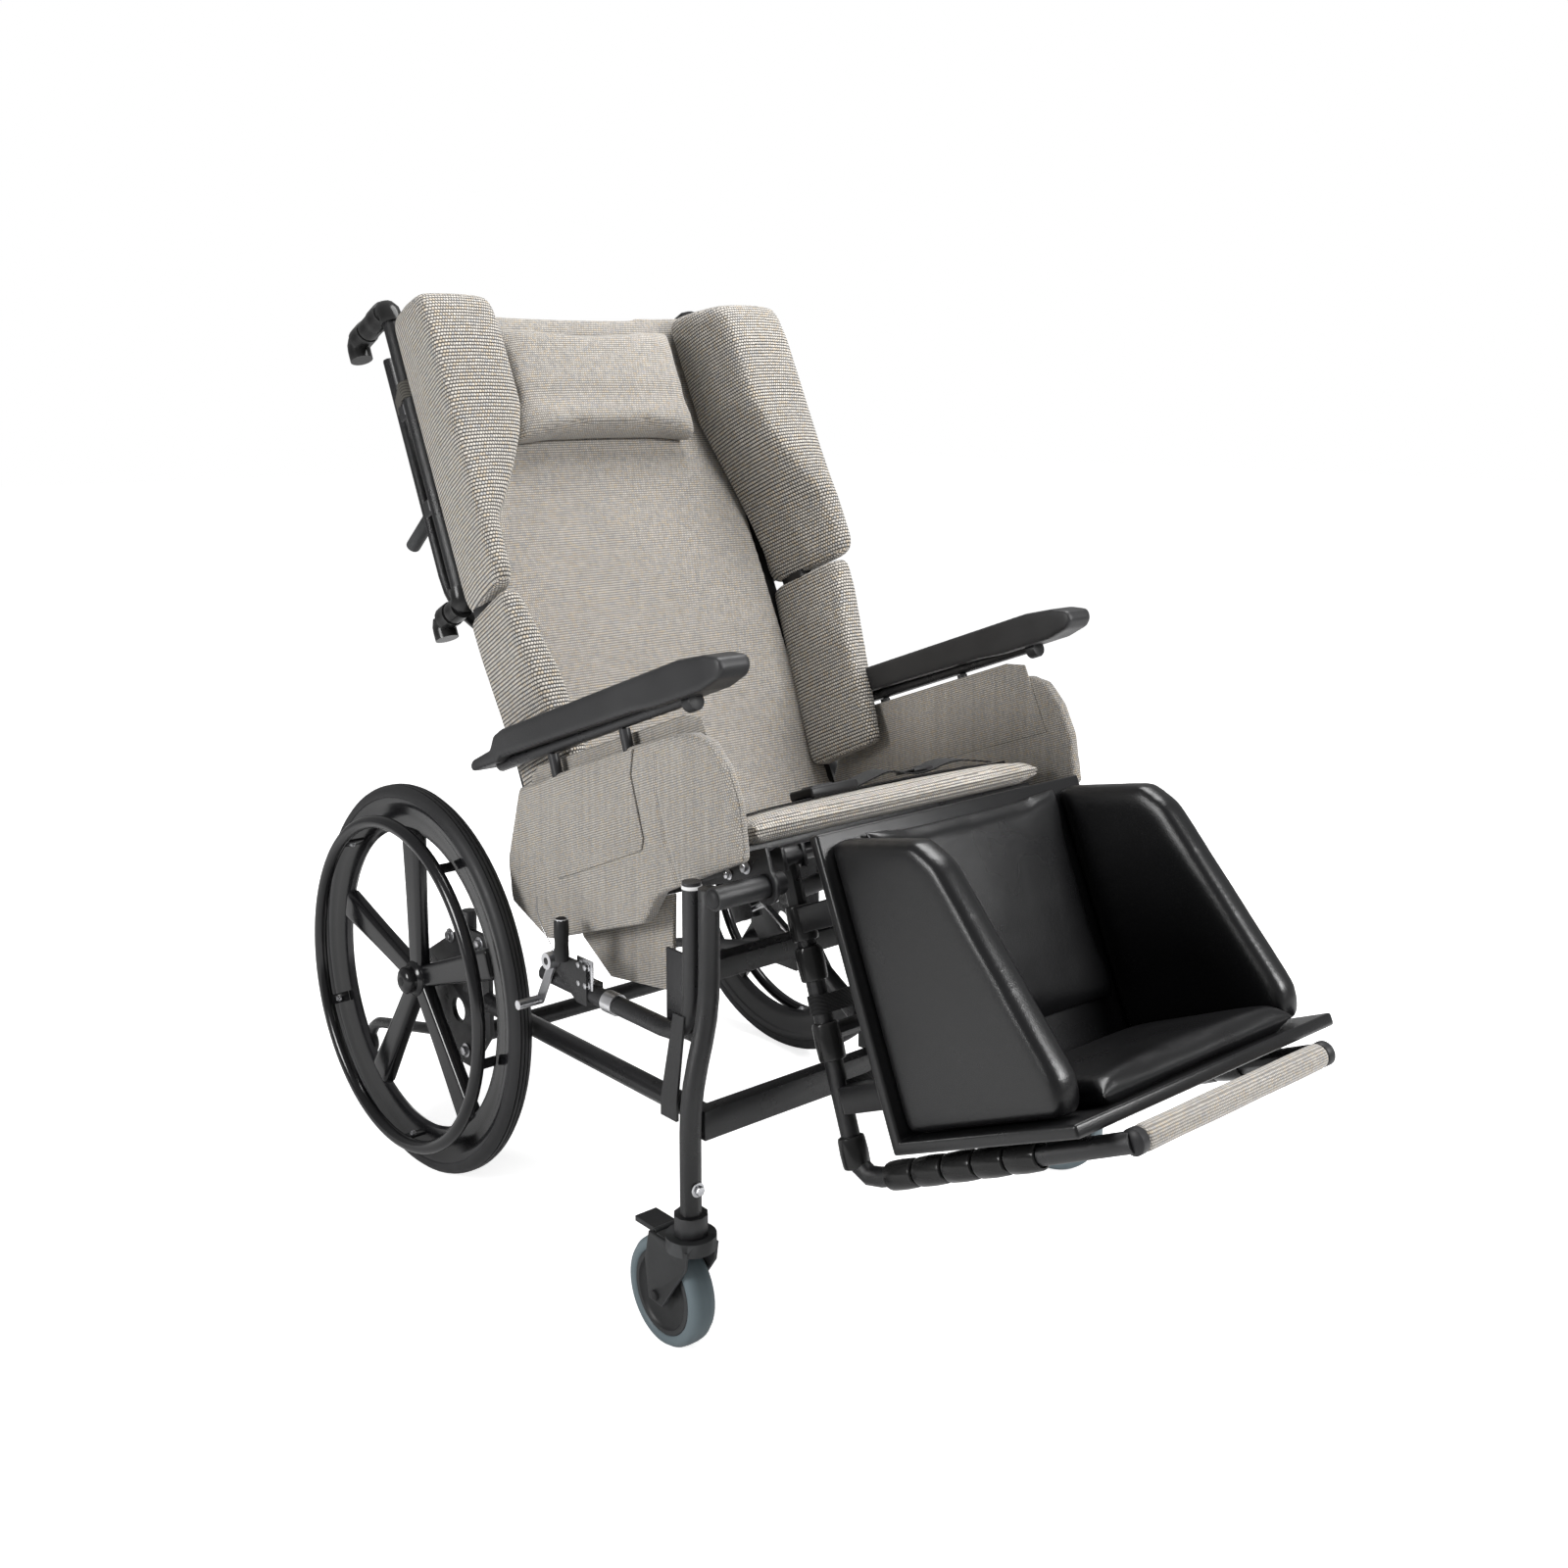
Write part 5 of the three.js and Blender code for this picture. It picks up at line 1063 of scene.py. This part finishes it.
class WHEELCHAIR_OT_back_fittings(Operator):
    """Wraps the back tubes' hooks and adds brackets, straps and push handles"""

    bl_idname = "wheelchair.back_fittings"
    bl_label = "Back fittings"

    hooks = ((122, 942), (122, 972), (0, 972), (0, 468), (79, 468), (79, 440))
    bend = 34
    arm_heights = (647, 813)

    def execute(self, context):
        for side, sign in SIDES:
            x, node = sign * BACK_TUBE_X, f"back_tube_{side}"
            wraps = []
            for path, count in (
                ([(x, 122, 940), (x, 122, 972), (x, 0, 972), (x, 0, 936)], 5),
                ([(x, 79, 438), (x, 79, 468), (x, 0, 468), (x, 0, 500)], 4),
            ):
                line = drawn(bent(path, self.bend))
                length = len(line) // count
                for number in range(count):
                    run = line[number * length:(number + 1) * length:3]
                    wraps.append(tube("wrap", run, 37 + 3 * (number % 2), 0, 6, BACK))
            bar = tube("bar", [(x, y, z) for y, z in self.hooks], 31, self.bend, 8, BACK)
            arms = [
                box("arm", (x - 2.5, 6, z - 13), (x + 2.5, 62, z + 13), 2, 2,
                    BACK @ shift(-sign * 9, 0, 0)) for z in self.arm_heights
            ]
            carry(joined([bar, *arms], node + "_painted"), "back", "paint", [node], 50)
            carry(joined(wraps, f"hook_wraps_{side}"), "back", "wrap", smooth=50)
            band = spun(
                "band", [(-14, 17.4), (-14, 14), (14, 14), (14, 17.4)], 32,
                BACK @ along((x, 0, 826), (x, 0, 880)),
            )
            tail = ribbon(
                "tail", [(x, 10, 840), (x - sign * 4, 40, 838), (x - sign * 16, 78, 832)],
                (0, 0, 1), 26, 2, 10, BACK,
            )
            carry(joined([band, tail], f"back_strap_{side}"), "back", "strap", smooth=50)
            plates = []
            for z in self.arm_heights:
                plates.append(box(
                    "bracket", (x - 1.5, 12, z - 9), (x + 1.5, 40, z + 9), 1.2, 2,
                    BACK @ shift(-sign * 5, 0, 0),
                ))
                plates += heads(BACK, sign, BACK_TUBE_X - 8, 3, [(y, z, 7) for y in (20, 32)])
            carry(joined(plates, f"back_brackets_{side}"), "back", "zinc", smooth=35)
            path = [(sign * 252, y, z) for y, z in ((104, 700), (118, 662), (204, 640))]
            handle = tube(f"push_handle_{side}", path, 24, 26, 6, BACK)
            carry(handle, "back", "hard", smooth=50)
        return {"FINISHED"}


class WHEELCHAIR_OT_leg_rest(Operator):
    """Wraps the leg rest's tubes and adds its webbing and toe bar sleeve"""

    bl_idname = "wheelchair.leg_rest"
    bl_label = "Leg rest"

    wrapped = ((-108, -62), (-160, -116), (-262, -214), (-398, -358))
    toe_y, toe_z = -432, -380

    def wrap(self, start, end):
        radius = 17.8
        start, end = Vector(start), Vector(end)
        length = (end - start).length
        profile = [
            (0, radius - 3), (1, radius - 0.8), (4, radius), (length / 2, radius + 0.7),
            (length - 4, radius), (length - 1, radius - 0.8), (length, radius - 3),
        ]
        return spun("wrap", profile, 28, LEG @ along(start, end))

    def execute(self, context):
        y, z = self.toe_y, self.toe_z
        for side, sign in SIDES:
            x = sign * LEG_X
            wraps = [self.wrap((x, 0, low), (x, 0, high)) for low, high in self.wrapped]
            foot, toe = Vector((x, 0, -414)), Vector((sign * 188, y, z))
            for number in range(5):
                near = 0.13 + 0.115 * number
                wraps.append(self.wrap(foot.lerp(toe, near), foot.lerp(toe, near + 0.106)))
            carry(joined(wraps, f"leg_wraps_{side}"), "leg_rest", "wrap")
            loop = spun(
                "loop", [(-12, 15.4), (-12, 13.2), (12, 13.2), (12, 15.4)], 28,
                LEG @ along((x, 0, -190), (x, 0, -170)),
            )
            bands = [
                ribbon(
                    "band", [(x, -14.5, low), (x - sign * 30, -18, low), (x - sign * 60, -8, low)],
                    (0, 0, 1), 24, 2.2, 14, LEG,
                ) for low in (-190, -300)
            ]
            webbing = joined([loop, *bands], f"leg_webbing_{side}")
            carry(webbing, "leg_rest", "belt", smooth=50)
            cap = spun(
                f"toe_cap_{side}", [(0, 0), (0, 14.5), (2, 15.5), (12, 15.5), (15, 12), (16, 0)], 28,
                LEG @ along((sign * 178, y, z), (sign * 200, y, z)),
            )
            carry(cap, "leg_rest", "black")
        sleeve = spun(
            "toe_bar_sleeve",
            [(-178, 0), (-178, 12), (-175, 15), (-168, 15.8), (-120, 15.4), (-40, 16), (40, 15.5),
             (120, 16), (168, 15.6), (175, 15), (178, 12), (178, 0)], 32, LEG @ shift(0, y, z),
        )
        carry(sleeve, "leg_rest", "panel_cloth", smooth=50)
        return {"FINISHED"}


class WHEELCHAIR_OT_foot_box(Operator):
    """Covers the foot box: its boards, calf and foot pads and padded sides"""

    bl_idname = "wheelchair.foot_box"
    bl_label = "Foot box"

    def execute(self, context):
        cell = context.scene.wheelchair_cloth.voxel * 1000
        boards = eased(merged_copy("foot_box_base", "vinyl", "foot_box_boards"), 4)
        carry(boards, "leg_rest", "vinyl", ["foot_box_base"], smooth=50)
        for node, cap in (("calf_pad", 8), ("foot_pad", 7)):
            pad = filled(merged_copy(node, "vinyl"), cell, 12, 3.0, cap)
            carry(pad, "leg_rest", "vinyl", [node], smooth=60)
        side_pad = filled(merged_copy("foot_box_side_right", "vinyl"), cell, 24, -3.0)
        carry_both(side_pad, "leg_rest", "vinyl", "foot_box_side")
        return {"FINISHED"}


class WHEELCHAIR_OT_hardware(Operator):
    """Adds the tube caps, bolts and washers of the base and seat"""

    bl_idname = "wheelchair.hardware"
    bl_label = "Hardware"

    axle_plate = ((-118, 380, 13), (-30, 372, 13), (-70, 196, 13), (-112, 208, 11))
    seat = ((28, 28, 10), (66, 24, 8), (504, 45, 10))

    def execute(self, context):
        for side, sign in SIDES:
            bolts = heads(BASE, sign, 339.4, 6, self.axle_plate)
            carry(joined(bolts, f"axle_plate_bolts_{side}"), "base", "zinc", smooth=30)
            cap = spun(
                f"tilt_cap_{side}", [(-4, 0), (-4, 8), (-2.6, 11), (0, 12.4), (3, 12.4), (3, 0)], 28,
                BASE @ shift(sign * 374.4, PIVOT_Y, PIVOT_Z) @ outwards(sign),
            )
            carry(cap, "base", "black")
            bolts = heads(SEAT, sign, 291.4, 6, self.seat)
            carry(joined(bolts, f"seat_bolts_{side}"), "seat", "zinc", smooth=30)
        return {"FINISHED"}


class WHEELCHAIR_PT_panel(Panel):
    """Lists the steps that dress the wheelchair"""

    bl_idname = "WHEELCHAIR_PT_panel"
    bl_label = "Wheelchair"
    bl_space_type = "VIEW_3D"
    bl_region_type = "UI"
    bl_category = "Wheelchair"

    def draw(self, context):
        layout = self.layout
        for group in ("wheelchair_cloth", "wheelchair_wheels", "wheelchair_stage"):
            settings = getattr(context.scene, group)
            for key in settings.__annotations__:
                layout.prop(settings, key)
        for operator in OPERATORS:
            layout.operator(operator.bl_idname)


OPERATORS = (
    WHEELCHAIR_OT_stage,
    WHEELCHAIR_OT_frame,
    WHEELCHAIR_OT_rear_wheels,
    WHEELCHAIR_OT_casters,
    WHEELCHAIR_OT_wheel_locks,
    WHEELCHAIR_OT_seat,
    WHEELCHAIR_OT_side_panels,
    WHEELCHAIR_OT_arms,
    WHEELCHAIR_OT_back,
    WHEELCHAIR_OT_back_fittings,
    WHEELCHAIR_OT_leg_rest,
    WHEELCHAIR_OT_foot_box,
    WHEELCHAIR_OT_hardware,
)
SETTINGS = (
    ("wheelchair_cloth", CLOTH_PG_settings),
    ("wheelchair_wheels", WHEEL_PG_settings),
    ("wheelchair_stage", STAGE_PG_settings),
)


def register():
    for name, group in SETTINGS:
        bpy.utils.register_class(group)
        setattr(bpy.types.Scene, name, PointerProperty(type=group))
    for operator in OPERATORS:
        bpy.utils.register_class(operator)
    bpy.utils.register_class(WHEELCHAIR_PT_panel)


def unregister():
    bpy.utils.unregister_class(WHEELCHAIR_PT_panel)
    for operator in reversed(OPERATORS):
        bpy.utils.unregister_class(operator)
    for name, group in reversed(SETTINGS):
        delattr(bpy.types.Scene, name)
        bpy.utils.unregister_class(group)


def main():
    register()
    for operator in OPERATORS:
        family, step = operator.bl_idname.split(".")
        getattr(getattr(bpy.ops, family), step)()
    deselect_all()


if __name__ == "__main__":
    main()
